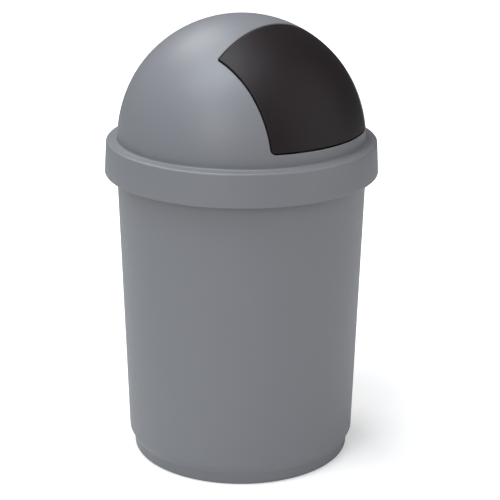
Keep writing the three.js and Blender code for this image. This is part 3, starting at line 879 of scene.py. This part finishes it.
def build_flap(settings, material):
    flap = flap_mesh(settings.edge_round / MM, settings.foot_round / MM)
    outlines = (
        belt(PIVOT, PIVOT_LUG_RADIUS, lug_root(), PIVOT_LUG_ROOT_RADIUS),
        belt(PIVOT, PIVOT_LUG_RADIUS, BAR, BAR_SOCKET_RADIUS),
    )
    parts = []
    for outline in outlines:
        plates = side_plates("arm", outline, FLAP_SIDE_GAP + ARM_SLIP, FLAP_SIDE_GAP + FLAP_WALL)
        parts.append(bevelled(plates))
    arms = combine(parts[0], [parts[1]], "UNION")
    combine(arms, [dome_core("core", FLAP_WALL / 2)], "INTERSECT")
    tools = [arms, bevelled(stop_tongues(), 0.5 * MM)]
    seat, floor = pin_seat(), bar_floor()
    socket_rim = floor - BAR_SOCKET_DEPTH
    for start, end in both_sides(seat, seat + PIN_BOSS_HEIGHT + 1.1):
        tools.append(rod("boss", PIN_BOSS_RADIUS, start, end, PIVOT, 0.4))
    for start, end in both_sides(socket_rim, floor + 1):
        tools.append(rod("socket", BAR_SOCKET_RADIUS, start, end, BAR, 0.4))
    combine(flap, tools, "UNION")
    bores = [rod("pin_hole", PIN_HOLE_RADIUS, -DOME_RADIUS, DOME_RADIUS, PIVOT)]
    for start, end in both_sides(socket_rim - 5, floor):
        bores.append(rod("bar_hole", BAR_HOLE_RADIUS, start, end, BAR))
    combine(flap, bores, "DIFFERENCE")
    smooth_shaded(welded(flap), SHELL_CREASE)
    dress(flap, "flap", material, ["swing_flap"])


# ---- Pins and counterweight ----


def build_pins(material):
    under_head = pin_seat() - END_PLAY
    inner = under_head - PIN_HEAD_THICKNESS
    tip = mouth_half_width(-PIVOT[0], -LID_WALL) + 2
    for side, word in ((-1, "left"), (1, "right")):
        profile = rounded([
            (0, inner),
            (PIN_HEAD_RADIUS, inner, 0.5),
            (PIN_HEAD_RADIUS, under_head, 0.3),
            (PIN_RADIUS, under_head, 0.3),
            (PIN_RADIUS, tip - PIN_TIP_TAPER, 0.3),
            (PIN_TIP_RADIUS, tip, 0.3),
            (0, tip),
        ], 4)
        pin = turned_across("pin_" + word, [(r, side * x) for r, x in profile], PIVOT)
        dress(pin, "flap", material, ["pivot_pin_" + word])


def build_bar(material):
    half = bar_floor() - END_PLAY
    chamfered = BAR_RADIUS - BAR_CHAMFER
    profile = rounded([
        (0, -half),
        (chamfered, -half, 0.2),
        (BAR_RADIUS, BAR_CHAMFER - half, 0.2),
        (BAR_RADIUS, half - BAR_CHAMFER, 0.2),
        (chamfered, half, 0.2),
        (0, half),
    ], 3)
    bar = turned_across("counterweight", subdivided(profile, 12), BAR, 72)
    dress(bar, "flap", material, ["counterweight_bar"])


# ---- Bucket ----

BUCKET_LENGTHS = {
    "Height": BUCKET_HEIGHT,
    "Wall": BUCKET_WALL,
    "Body top radius": BODY_TOP_RADIUS,
    "Body bottom radius": BODY_BOTTOM_RADIUS,
    "Foot top radius": FOOT_TOP_RADIUS,
    "Foot bottom radius": FOOT_BOTTOM_RADIUS,
    "Foot height": FOOT_HEIGHT,
    "Foot step top": FOOT_STEP_TOP,
    "Rim radius": RIM_RADIUS,
    "Rim drop": RIM_DROP,
    "Rim wall": RIM_WALL,
    "Base thickness": BASE_THICKNESS,
    "Recess radius": BASE_RECESS_RADIUS,
    "Recess slope": BASE_RECESS_SLOPE,
    "Recess depth": BASE_RECESS_DEPTH,
}


def turned_bucket_tree():
    """Node tree: the bucket's profile worked out from its sizes, rounded at its corners and turned
    round the axis. The profile runs from the recess under the base out over the foot, up the body,
    round the turned-over rim and down the inside."""
    counts = ("Steps round the axis", "Steps in a rounding")
    tree, size = geometry_tree("Turned bucket", counts, BUCKET_LENGTHS)
    add_sums(tree, size, {
        "Recess edge": ("Recess radius", 1, "Recess slope"),
        "Recess top": ("Recess depth", 1, "Base thickness"),
        "Rim underside": ("Height", -1, "Rim wall"),
        "Rim bottom": ("Height", -1, "Rim drop"),
        "Rim inside": ("Rim radius", -1, "Rim wall"),
        "Body top inside": ("Body top radius", -1, "Wall"),
        "Body bottom inside": ("Body bottom radius", -1, "Wall"),
        "Foot top inside": ("Foot top radius", -1, "Wall"),
        "Foot bottom inside": ("Foot bottom radius", -1, "Wall"),
        "Step inside": ("Foot step top", 0.5, "Wall"),
        "Foot inside": ("Foot height", 0.5, "Wall"),
    })
    # Radius, height and rounding of each corner; None is the axis, and the base is at height None.
    corners = (
        (None, "Recess depth", 0),
        ("Recess radius", "Recess depth", 3),
        ("Recess edge", None, 0.6),
        ("Foot bottom radius", None, 3.4),
        ("Foot top radius", "Foot height", 1.2),
        ("Body bottom radius", "Foot step top", 2),
        ("Body top radius", "Rim underside", 0.6),
        ("Rim inside", "Rim underside", 0.8),
        ("Rim inside", "Rim bottom", 0.5),
        ("Rim radius", "Rim bottom", 0.8),
        ("Rim radius", "Height", 3),
        ("Body top inside", "Height", 1.2),
        ("Body bottom inside", "Step inside", 2),
        ("Foot top inside", "Foot inside", 2),
        ("Foot bottom inside", "Base thickness", 6),
        ("Recess edge", "Base thickness", 3),
        ("Recess radius", "Recess top", 1),
        (None, "Recess top", 0),
    )
    index = add_node(tree, "GeometryNodeInputIndex")
    columns = []
    for column in zip(*corners):
        switch = add_node(tree, "GeometryNodeIndexSwitch", {"Index": index}, data_type="FLOAT")
        while len(switch.index_switch_items) < len(corners):
            switch.index_switch_items.new()
        for k, value in enumerate(column, 1):
            if isinstance(value, str):
                tree.links.new(size[value], switch.inputs[k])
            else:
                switch.inputs[k].default_value = (value or 0) * MM
        columns.append(switch)
    radius, height, rounding = columns
    down = add_node(tree, "ShaderNodeMath", {0: height, 1: -1}, operation="MULTIPLY")
    place = add_node(tree, "ShaderNodeCombineXYZ", {"X": radius, "Y": down})
    chain = add_node(tree, "GeometryNodeMeshLine", {"Count": len(corners)})
    laid_out = add_node(tree, "GeometryNodeSetPosition", {
        "Geometry": chain, "Position": place,
    })
    curve = add_node(tree, "GeometryNodeMeshToCurve", {0: laid_out})
    profile = add_node(tree, "GeometryNodeFilletCurve", {
        "Curve": curve, "Count": size["Steps in a rounding"], "Radius": rounding,
    }, mode="POLY")
    # The profile is swept round a circle too small to see, and its ends on the axis merge to points.
    axis_radius = 0.001 * MM
    axis = add_node(tree, "GeometryNodeCurvePrimitiveCircle", {
        "Resolution": size["Steps round the axis"], "Radius": axis_radius,
    })
    level = add_node(tree, "GeometryNodeSetCurveNormal", {"Curve": axis}, mode="Z_UP")
    shell = add_node(tree, "GeometryNodeCurveToMesh", {
        "Curve": level, "Profile Curve": profile,
    })
    closed = add_node(tree, "GeometryNodeMergeByDistance", {
        "Geometry": shell, "Distance": 4 * axis_radius,
    })
    outward = add_node(tree, "GeometryNodeFlipFaces", {0: closed})
    finish_tree(tree, outward, size["Material"])
    return tree


def build_bucket(settings, material):
    values = {label: length * MM for label, length in BUCKET_LENGTHS.items()}
    values.update({"Steps round the axis": TURN_STEPS, "Steps in a rounding": 5, "Material": material})
    shell = grown("bucket_shell", turned_bucket_tree(), values)
    smooth_shaded(shell, SHELL_CREASE)
    dress(shell, "bucket", material, ["bucket"])
    flange = BUCKET_HEIGHT - RIM_WALL
    webs = upright_ribs(
        "rim_webs", material, settings.rim_webs, BODY_TOP_RADIUS - BUCKET_WALL / 2,
        RIM_RADIUS - RIM_WALL + RIB_SINK, RIM_WEB_THICKNESS, flange - RIM_WEB_HEIGHT, flange + RIB_SINK,
    )
    dress(webs, "bucket", material)
    ribs = upright_ribs(
        "base_ribs", material, settings.base_ribs, BASE_RIB_START, BASE_RECESS_RADIUS - 4,
        BASE_RIB_THICKNESS, BASE_RIB_BOTTOM, BASE_RECESS_DEPTH + RIB_SINK,
    )
    dress(ribs, "bucket", material)


# ---- Materials ----


def new_material(name):
    """A material with an empty node tree."""
    material = bpy.data.materials.new(name)
    material.use_nodes = True
    material.node_tree.nodes.clear()
    return material, material.node_tree


def moulded_plastic(name, colour, roughness, gloss):
    """Injection moulded polypropylene from a spark-eroded mould: its fine even grain spreads every
    highlight into a broad sheen, thick and thin places shrink into very shallow waves, and the
    pigment is even. The real grain is about 0.15 mm, too fine to show, and is drawn at 0.9 mm."""
    material, tree = new_material(name)
    place = add_node(tree, "ShaderNodeTexCoord").outputs["Object"]
    flow_lines = add_node(tree, "ShaderNodeMapping", {"Vector": place, "Scale": (1, 1, 0.35)})
    flow = add_node(tree, "ShaderNodeTexNoise", {
        "Vector": flow_lines, "Scale": 1 / (70 * MM), "Detail": 3.0,
    })
    tint = add_node(tree, "ShaderNodeMix", {
        "Factor": flow,
        "A": tuple(c * 0.98 for c in colour[:3]) + (1.0,),
        "B": tuple(min(c * 1.02, 1.0) for c in colour[:3]) + (1.0,),
    }, data_type="RGBA")
    handled = add_node(tree, "ShaderNodeTexNoise", {
        "Vector": place, "Scale": 1 / (14 * MM), "Detail": 4.0, "Roughness": 0.6,
    })
    rough = add_node(tree, "ShaderNodeMapRange", {
        "Value": handled,
        "From Min": 0.3, "From Max": 0.7, "To Min": roughness - 0.02, "To Max": roughness + 0.02,
    })
    waves = add_node(tree, "ShaderNodeTexNoise", {
        "Vector": place, "Scale": 1 / (60 * MM), "Detail": 1.0,
    })
    shrink = add_node(tree, "ShaderNodeBump", {"Height": waves, "Distance": 0.1 * MM})
    grain = add_node(tree, "ShaderNodeTexNoise", {
        "Vector": place, "Scale": 1 / (0.9 * MM), "Detail": 2.0,
    })
    bump = add_node(tree, "ShaderNodeBump", {
        "Height": grain, "Distance": 0.02 * MM, "Normal": shrink,
    })
    shader = add_node(tree, "ShaderNodeBsdfPrincipled", {
        "Base Color": tint,
        "Roughness": rough,
        "IOR": 1.49,
        "Specular IOR Level": gloss,
        "Normal": bump,
    })
    add_node(tree, "ShaderNodeOutputMaterial", {"Surface": shader})
    return material


def moulded_acetal(name, colour):
    """Unpigmented injection moulded acetal: smooth, milky and slightly waxy, with the faintest
    ripple left by the way it flowed into the mould."""
    material, tree = new_material(name)
    place = add_node(tree, "ShaderNodeTexCoord").outputs["Object"]
    ripple = add_node(tree, "ShaderNodeTexNoise", {"Vector": place, "Scale": 1 / (3 * MM), "Detail": 2.0})
    bump = add_node(tree, "ShaderNodeBump", {"Height": ripple, "Distance": 0.02 * MM})
    rough = add_node(tree, "ShaderNodeMapRange", {
        "Value": ripple, "From Min": 0.3, "From Max": 0.7, "To Min": 0.28, "To Max": 0.34,
    })
    shader = add_node(tree, "ShaderNodeBsdfPrincipled", {
        "Base Color": colour,
        "Roughness": rough,
        "IOR": 1.48,
        "Subsurface Weight": 0.15,
        "Subsurface Scale": 1.0 * MM,
        "Normal": bump,
    })
    add_node(tree, "ShaderNodeOutputMaterial", {"Surface": shader})
    return material


def zinc_plated_bar(name, colour):
    """Cold drawn steel bar, zinc plated: fine draw lines along it under a bright, cloudy coat."""
    material, tree = new_material(name)
    place = add_node(tree, "ShaderNodeTexCoord").outputs["Object"]
    drawn = add_node(tree, "ShaderNodeMapping", {"Vector": place, "Scale": (0.02, 1, 1)})
    lines = add_node(tree, "ShaderNodeTexNoise", {
        "Vector": drawn, "Scale": 1 / (0.5 * MM), "Detail": 3.0, "Roughness": 0.6,
    })
    spangle = add_node(tree, "ShaderNodeTexNoise", {"Vector": place, "Scale": 1 / (4 * MM)})
    tint = add_node(tree, "ShaderNodeMix", {
        "Factor": spangle,
        "A": tuple(c * 0.85 for c in colour[:3]) + (1.0,),
        "B": colour,
    }, data_type="RGBA")
    rough = add_node(tree, "ShaderNodeMapRange", {
        "Value": lines, "From Min": 0.3, "From Max": 0.7, "To Min": 0.28, "To Max": 0.42,
    })
    bump = add_node(tree, "ShaderNodeBump", {"Height": lines, "Distance": 0.015 * MM})
    shader = add_node(tree, "ShaderNodeBsdfPrincipled", {
        "Base Color": tint,
        "Metallic": 1.0,
        "Roughness": rough,
        "Normal": bump,
    })
    add_node(tree, "ShaderNodeOutputMaterial", {"Surface": shader})
    return material


# ---- Stage ----

# The camera is the fit to the photographed outline: the flap faces 47 degrees to its right.
FLAP_TURN = math.radians(47)
CAMERA_DISTANCE = 2.2568
CAMERA_HEIGHT = 1.0770
CAMERA_PITCH = 0.3274
CAMERA_YAW = 0.0059
CAMERA_ROLL = 0.0060
SENSOR_WIDTH = 36

FLOOR_SIDE = 24.0
FLOOR_LEVEL = -0.0002

# The overhead softboxes look a little bluer than the rest.
COOL_WHITE = (0.93, 0.99, 1.05)
NEUTRAL_WHITE = (1.0, 1.0, 1.0)
SOFTBOX_DISTANCE = 2.6
SOFTBOX_AIM = 0.45
# Bearing in degrees to the right of the camera's side of the bin, elevation, side and colour.
SOFTBOXES = {
    "key": (-54, 60, 1.5, COOL_WHITE),
    "top": (-30, 78, 1.6, COOL_WHITE),
    "back": (-140, 53, 1.2, NEUTRAL_WHITE),
    "front": (-24, 26, 1.0, NEUTRAL_WHITE),
    "right": (72, 24, 3.0, NEUTRAL_WHITE),
}


def build_camera(settings):
    """A level camera in front of the bin, tipped by its pitch, yaw and roll in radians, and then
    turned round the bin's axis to where the flap faces right."""
    level = math.cos(CAMERA_PITCH)
    forward = Vector((math.sin(CAMERA_YAW) * level, math.cos(CAMERA_YAW) * level, -math.sin(CAMERA_PITCH)))
    right = forward.cross(Vector((0, 0, 1))).normalized()
    up = right.cross(forward)
    aimed = Matrix((right, up, -forward)).transposed().to_4x4() @ Matrix.Rotation(CAMERA_ROLL, 4, "Z")
    data = bpy.data.cameras.new("product_camera")
    data.lens = settings.lens
    data.sensor_width = SENSOR_WIDTH
    data.clip_end = 60
    data.dof.use_dof = False
    camera = bpy.data.objects.new("product_camera", data)
    stand = Matrix.Translation((0, -CAMERA_DISTANCE, CAMERA_HEIGHT))
    camera.matrix_world = Matrix.Rotation(-FLAP_TURN, 4, "Z") @ stand @ aimed
    bpy.context.scene.collection.objects.link(camera)
    bpy.context.scene.camera = camera


def add_softbox(name, power, bearing, elevation, side, colour):
    """A square softbox aimed at the middle of the bin."""
    turn = math.radians(bearing) - FLAP_TURN
    rise = math.radians(elevation)
    out = Vector((math.sin(turn) * math.cos(rise), -math.cos(turn) * math.cos(rise), math.sin(rise)))
    data = bpy.data.lights.new(name, "AREA")
    data.shape = "SQUARE"
    data.size = side
    data.energy = power
    data.color = colour
    light = bpy.data.objects.new(name, data)
    light.location = Vector((0, 0, SOFTBOX_AIM)) + out * SOFTBOX_DISTANCE
    light.rotation_mode = "QUATERNION"
    light.rotation_quaternion = (-out).to_track_quat("-Z", "Y")
    bpy.context.scene.collection.objects.link(light)


def white_sweep(settings):
    """Matt white paper with a painted glow that only the camera sees: the glow whitens the floor, less near
    the bin, and washes out the bin's shadow on it. The paper lights the bin only by what the softboxes throw
    back from it."""
    material, tree = new_material("matt_white_paper_sweep")
    place = add_node(tree, "ShaderNodeTexCoord").outputs["Object"]
    fibres = add_node(tree, "ShaderNodeTexNoise", {"Vector": place, "Scale": 1 / (2 * MM), "Detail": 3.0})
    tone = add_node(tree, "ShaderNodeMix", {
        "Factor": fibres,
        "A": tuple(c * 0.99 for c in settings.floor_colour[:3]) + (1.0,),
        "B": tuple(settings.floor_colour[:3]) + (1.0,),
    }, data_type="RGBA")
    paper = add_node(tree, "ShaderNodeBsdfPrincipled", {
        "Base Color": tone, "Roughness": 0.9, "Specular IOR Level": 0.1,
    })
    reach = add_node(tree, "ShaderNodeVectorMath", {0: place}, operation="LENGTH")
    glow = add_node(tree, "ShaderNodeMapRange", {
        "Value": reach,
        "From Min": 0.15, "From Max": 1.6, "To Min": settings.near_glow, "To Max": 1.0,
    }, interpolation_type="SMOOTHSTEP")
    seen = add_node(tree, "ShaderNodeLightPath").outputs["Is Camera Ray"]
    strength = add_node(tree, "ShaderNodeMath", {0: glow, 1: seen}, operation="MULTIPLY")
    # Painted glow, seen only by the camera and added to the paper: it brightens the floor and fills in the
    # bin's shadow on it, from the near strength by the bin up to full strength further out.
    painted_glow = add_node(tree, "ShaderNodeEmission", {"Color": (1, 1, 1, 1), "Strength": strength})
    both = add_node(tree, "ShaderNodeAddShader", {0: paper, 1: painted_glow})
    add_node(tree, "ShaderNodeOutputMaterial", {"Surface": both})
    return material


def studio_white(settings):
    """White surroundings: bright to the camera, and a weak even fill on the bin."""
    world = bpy.data.worlds.new("studio_white")
    world.use_nodes = True
    tree = world.node_tree
    tree.nodes.clear()
    seen = add_node(tree, "ShaderNodeLightPath").outputs["Is Camera Ray"]
    strength = add_node(tree, "ShaderNodeMapRange", {
        "Value": seen, "To Min": settings.ambient, "To Max": 1.0,
    })
    white = add_node(tree, "ShaderNodeBackground", {
        "Color": (1, 1, 1, 1), "Strength": strength,
    })
    add_node(tree, "ShaderNodeOutputWorld", {"Surface": white})
    return world


def build_stage(settings):
    half = FLOOR_SIDE / 2
    bm = bmesh.new()
    corners = ((-half, -half), (half, -half), (half, half), (-half, half))
    bm.faces.new([bm.verts.new((x, y, FLOOR_LEVEL)) for x, y in corners])
    floor = finish_mesh("studio_floor", bm)
    floor.data.materials.append(white_sweep(settings))
    bpy.context.scene.world = studio_white(settings)
    bpy.context.scene.view_settings.view_transform = "Standard"
    for name, place in SOFTBOXES.items():
        add_softbox(name + "_softbox", getattr(settings, name + "_power"), *place)


# ---- Settings, operators and panel ----


ROUNDING = {"min": 0.3 * MM, "unit": "LENGTH"}
COLOUR = {"min": 0, "max": 1, "size": 4, "subtype": "COLOR"}
POWER = {"min": 0, "max": 2000, "unit": "POWER"}


class BucketSettings(bpy.types.PropertyGroup):
    rim_webs: bpy.props.IntProperty(
        name="Rim webs", description="Stiffening webs under the turned-over rim", default=16, min=4, max=48,
    )
    base_ribs: bpy.props.IntProperty(
        name="Base ribs", description="Ribs under the recessed base", default=8, min=3, max=24,
    )


class LidSettings(bpy.types.PropertyGroup):
    edge_round: bpy.props.FloatProperty(
        name="Mouth edge rounding", description="Radius along the sides of the mouth",
        default=1.2 * MM, max=3 * MM, **ROUNDING,
    )
    shelf_round: bpy.props.FloatProperty(
        name="Shelf fillet", description="Fillet where the dome meets the shelf",
        default=3 * MM, max=4 * MM, **ROUNDING,
    )
    grip_ribs: bpy.props.IntProperty(
        name="Grip ribs", description="Ribs inside the skirt that centre it on the rim",
        default=12, min=3, max=48,
    )


class FlapSettings(bpy.types.PropertyGroup):
    edge_round: bpy.props.FloatProperty(
        name="Edge rounding", description="Radius along the flap's sides and upper edge",
        default=1.8 * MM, max=1.8 * MM, **ROUNDING,
    )
    foot_round: bpy.props.FloatProperty(
        name="Lower edge rounding", description="Radius along the flap's lower edge",
        default=1.9 * MM, max=2 * MM, **ROUNDING,
    )


class FinishSettings(bpy.types.PropertyGroup):
    grey: bpy.props.FloatVectorProperty(
        name="Grey plastic", description="Colour of the bucket and the lid",
        default=from_hex("797a7e"), **COLOUR,
    )
    black: bpy.props.FloatVectorProperty(
        name="Black plastic", description="Colour of the flap", default=from_hex("160b0f"), **COLOUR,
    )
    acetal: bpy.props.FloatVectorProperty(
        name="Pin plastic", description="Colour of the pivot pins", default=from_hex("d8d6cf"), **COLOUR,
    )
    zinc: bpy.props.FloatVectorProperty(
        name="Plated steel", description="Colour of the counterweight", default=from_hex("b4b7bb"), **COLOUR,
    )


class StageSettings(bpy.types.PropertyGroup):
    floor_colour: bpy.props.FloatVectorProperty(
        name="Floor", description="Colour of the studio floor", default=from_hex("f8f8f8"), **COLOUR,
    )
    # Strength near the bin of the floor's painted glow, which only the camera sees and which lights nothing.
    near_glow: bpy.props.FloatProperty(
        name="Floor glow", description="How much the light table brightens the floor near the bin",
        default=0.35, min=0, max=2,
    )
    ambient: bpy.props.FloatProperty(
        name="Ambient", description="Light on the bin from the white surroundings",
        default=0.11, min=0, max=5,
    )
    key_power: bpy.props.FloatProperty(
        name="Key light", description="Power of the softbox at the upper left", default=36, **POWER,
    )
    top_power: bpy.props.FloatProperty(
        name="Top light", description="Power of the softbox overhead", default=27, **POWER,
    )
    back_power: bpy.props.FloatProperty(
        name="Back light", description="Power of the softbox behind, at the left", default=27, **POWER,
    )
    front_power: bpy.props.FloatProperty(
        name="Front light", description="Power of the softbox in front", default=17, **POWER,
    )
    right_power: bpy.props.FloatProperty(
        name="Right light", description="Power of the softbox at the right", default=26, **POWER,
    )
    lens: bpy.props.FloatProperty(
        name="Focal length", description="Focal length on a 36 mm wide sensor",
        default=113.225, min=20, max=400, unit="CAMERA",
    )


def grey_plastic(context):
    """The bucket's and the lid's material, made once."""
    found = bpy.data.materials.get("moulded_grey_polypropylene")
    if found:
        return found
    grey = context.scene.bin_finish.grey
    return moulded_plastic("moulded_grey_polypropylene", grey, roughness=0.45, gloss=0.5)


class BIN_OT_bucket(bpy.types.Operator):
    """Build the bucket with its rim webs and base ribs"""
    bl_idname = "bin.bucket"
    bl_label = "Bucket"

    def execute(self, context):
        build_bucket(context.scene.bin_bucket, grey_plastic(context))
        return {"FINISHED"}


class BIN_OT_lid(bpy.types.Operator):
    """Build the dome lid with its mouth, lip and pivot lugs"""
    bl_idname = "bin.lid"
    bl_label = "Dome lid"

    def execute(self, context):
        build_lid(context.scene.bin_lid, grey_plastic(context))
        return {"FINISHED"}


class BIN_OT_flap(bpy.types.Operator):
    """Build the swing flap with its lip, arms, sockets and stop tongues"""
    bl_idname = "bin.flap"
    bl_label = "Swing flap"

    def execute(self, context):
        black = context.scene.bin_finish.black
        plastic = moulded_plastic("moulded_black_polypropylene", black, roughness=0.52, gloss=0.35)
        build_flap(context.scene.bin_flap, plastic)
        return {"FINISHED"}


class BIN_OT_pivots(bpy.types.Operator):
    """Build the pivot pins and the counterweight bar"""
    bl_idname = "bin.pivots"
    bl_label = "Pins and counterweight"

    def execute(self, context):
        finish = context.scene.bin_finish
        build_pins(moulded_acetal("moulded_natural_acetal", finish.acetal))
        build_bar(zinc_plated_bar("zinc_plated_drawn_steel", finish.zinc))
        return {"FINISHED"}


class BIN_OT_stage(bpy.types.Operator):
    """Build the floor, the lights and the camera"""
    bl_idname = "bin.stage"
    bl_label = "Stage"

    def execute(self, context):
        build_stage(context.scene.bin_stage)
        build_camera(context.scene.bin_stage)
        return {"FINISHED"}


class BIN_PT_panel(bpy.types.Panel):
    bl_label = "Waste bin"
    bl_idname = "BIN_PT_panel"
    bl_space_type = "VIEW_3D"
    bl_region_type = "UI"
    bl_category = "Waste bin"

    def draw(self, context):
        for group, operators in PANEL_ROWS:
            box = self.layout.box()
            if group:
                settings = getattr(context.scene, group)
                for key in settings.bl_rna.properties.keys():
                    if key not in ("rna_type", "name"):
                        box.prop(settings, key)
            for operator in operators:
                box.operator(operator)


# Settings and the operators under them.
PANEL_ROWS = (
    ("bin_finish", ()),
    ("bin_bucket", ("bin.bucket",)),
    ("bin_lid", ("bin.lid",)),
    ("bin_flap", ("bin.flap", "bin.pivots")),
    ("bin_stage", ("bin.stage",)),
)

# The scene's property that holds each group of settings.
GROUPS = {
    "bin_bucket": BucketSettings,
    "bin_lid": LidSettings,
    "bin_flap": FlapSettings,
    "bin_finish": FinishSettings,
    "bin_stage": StageSettings,
}

OPERATORS = (BIN_OT_bucket, BIN_OT_lid, BIN_OT_flap, BIN_OT_pivots, BIN_OT_stage)


def register():
    for group in GROUPS.values():
        bpy.utils.register_class(group)
    for item in (*OPERATORS, BIN_PT_panel):
        bpy.utils.register_class(item)
    for name, group in GROUPS.items():
        setattr(bpy.types.Scene, name, bpy.props.PointerProperty(type=group))


def unregister():
    for name in GROUPS:
        delattr(bpy.types.Scene, name)
    for item in (BIN_PT_panel, *reversed(OPERATORS)):
        bpy.utils.unregister_class(item)
    for group in GROUPS.values():
        bpy.utils.unregister_class(group)


def main():
    register()
    bpy.ops.bin.bucket()
    bpy.ops.bin.lid()
    bpy.ops.bin.flap()
    bpy.ops.bin.pivots()
    bpy.ops.bin.stage()


if __name__ == "__main__":
    main()
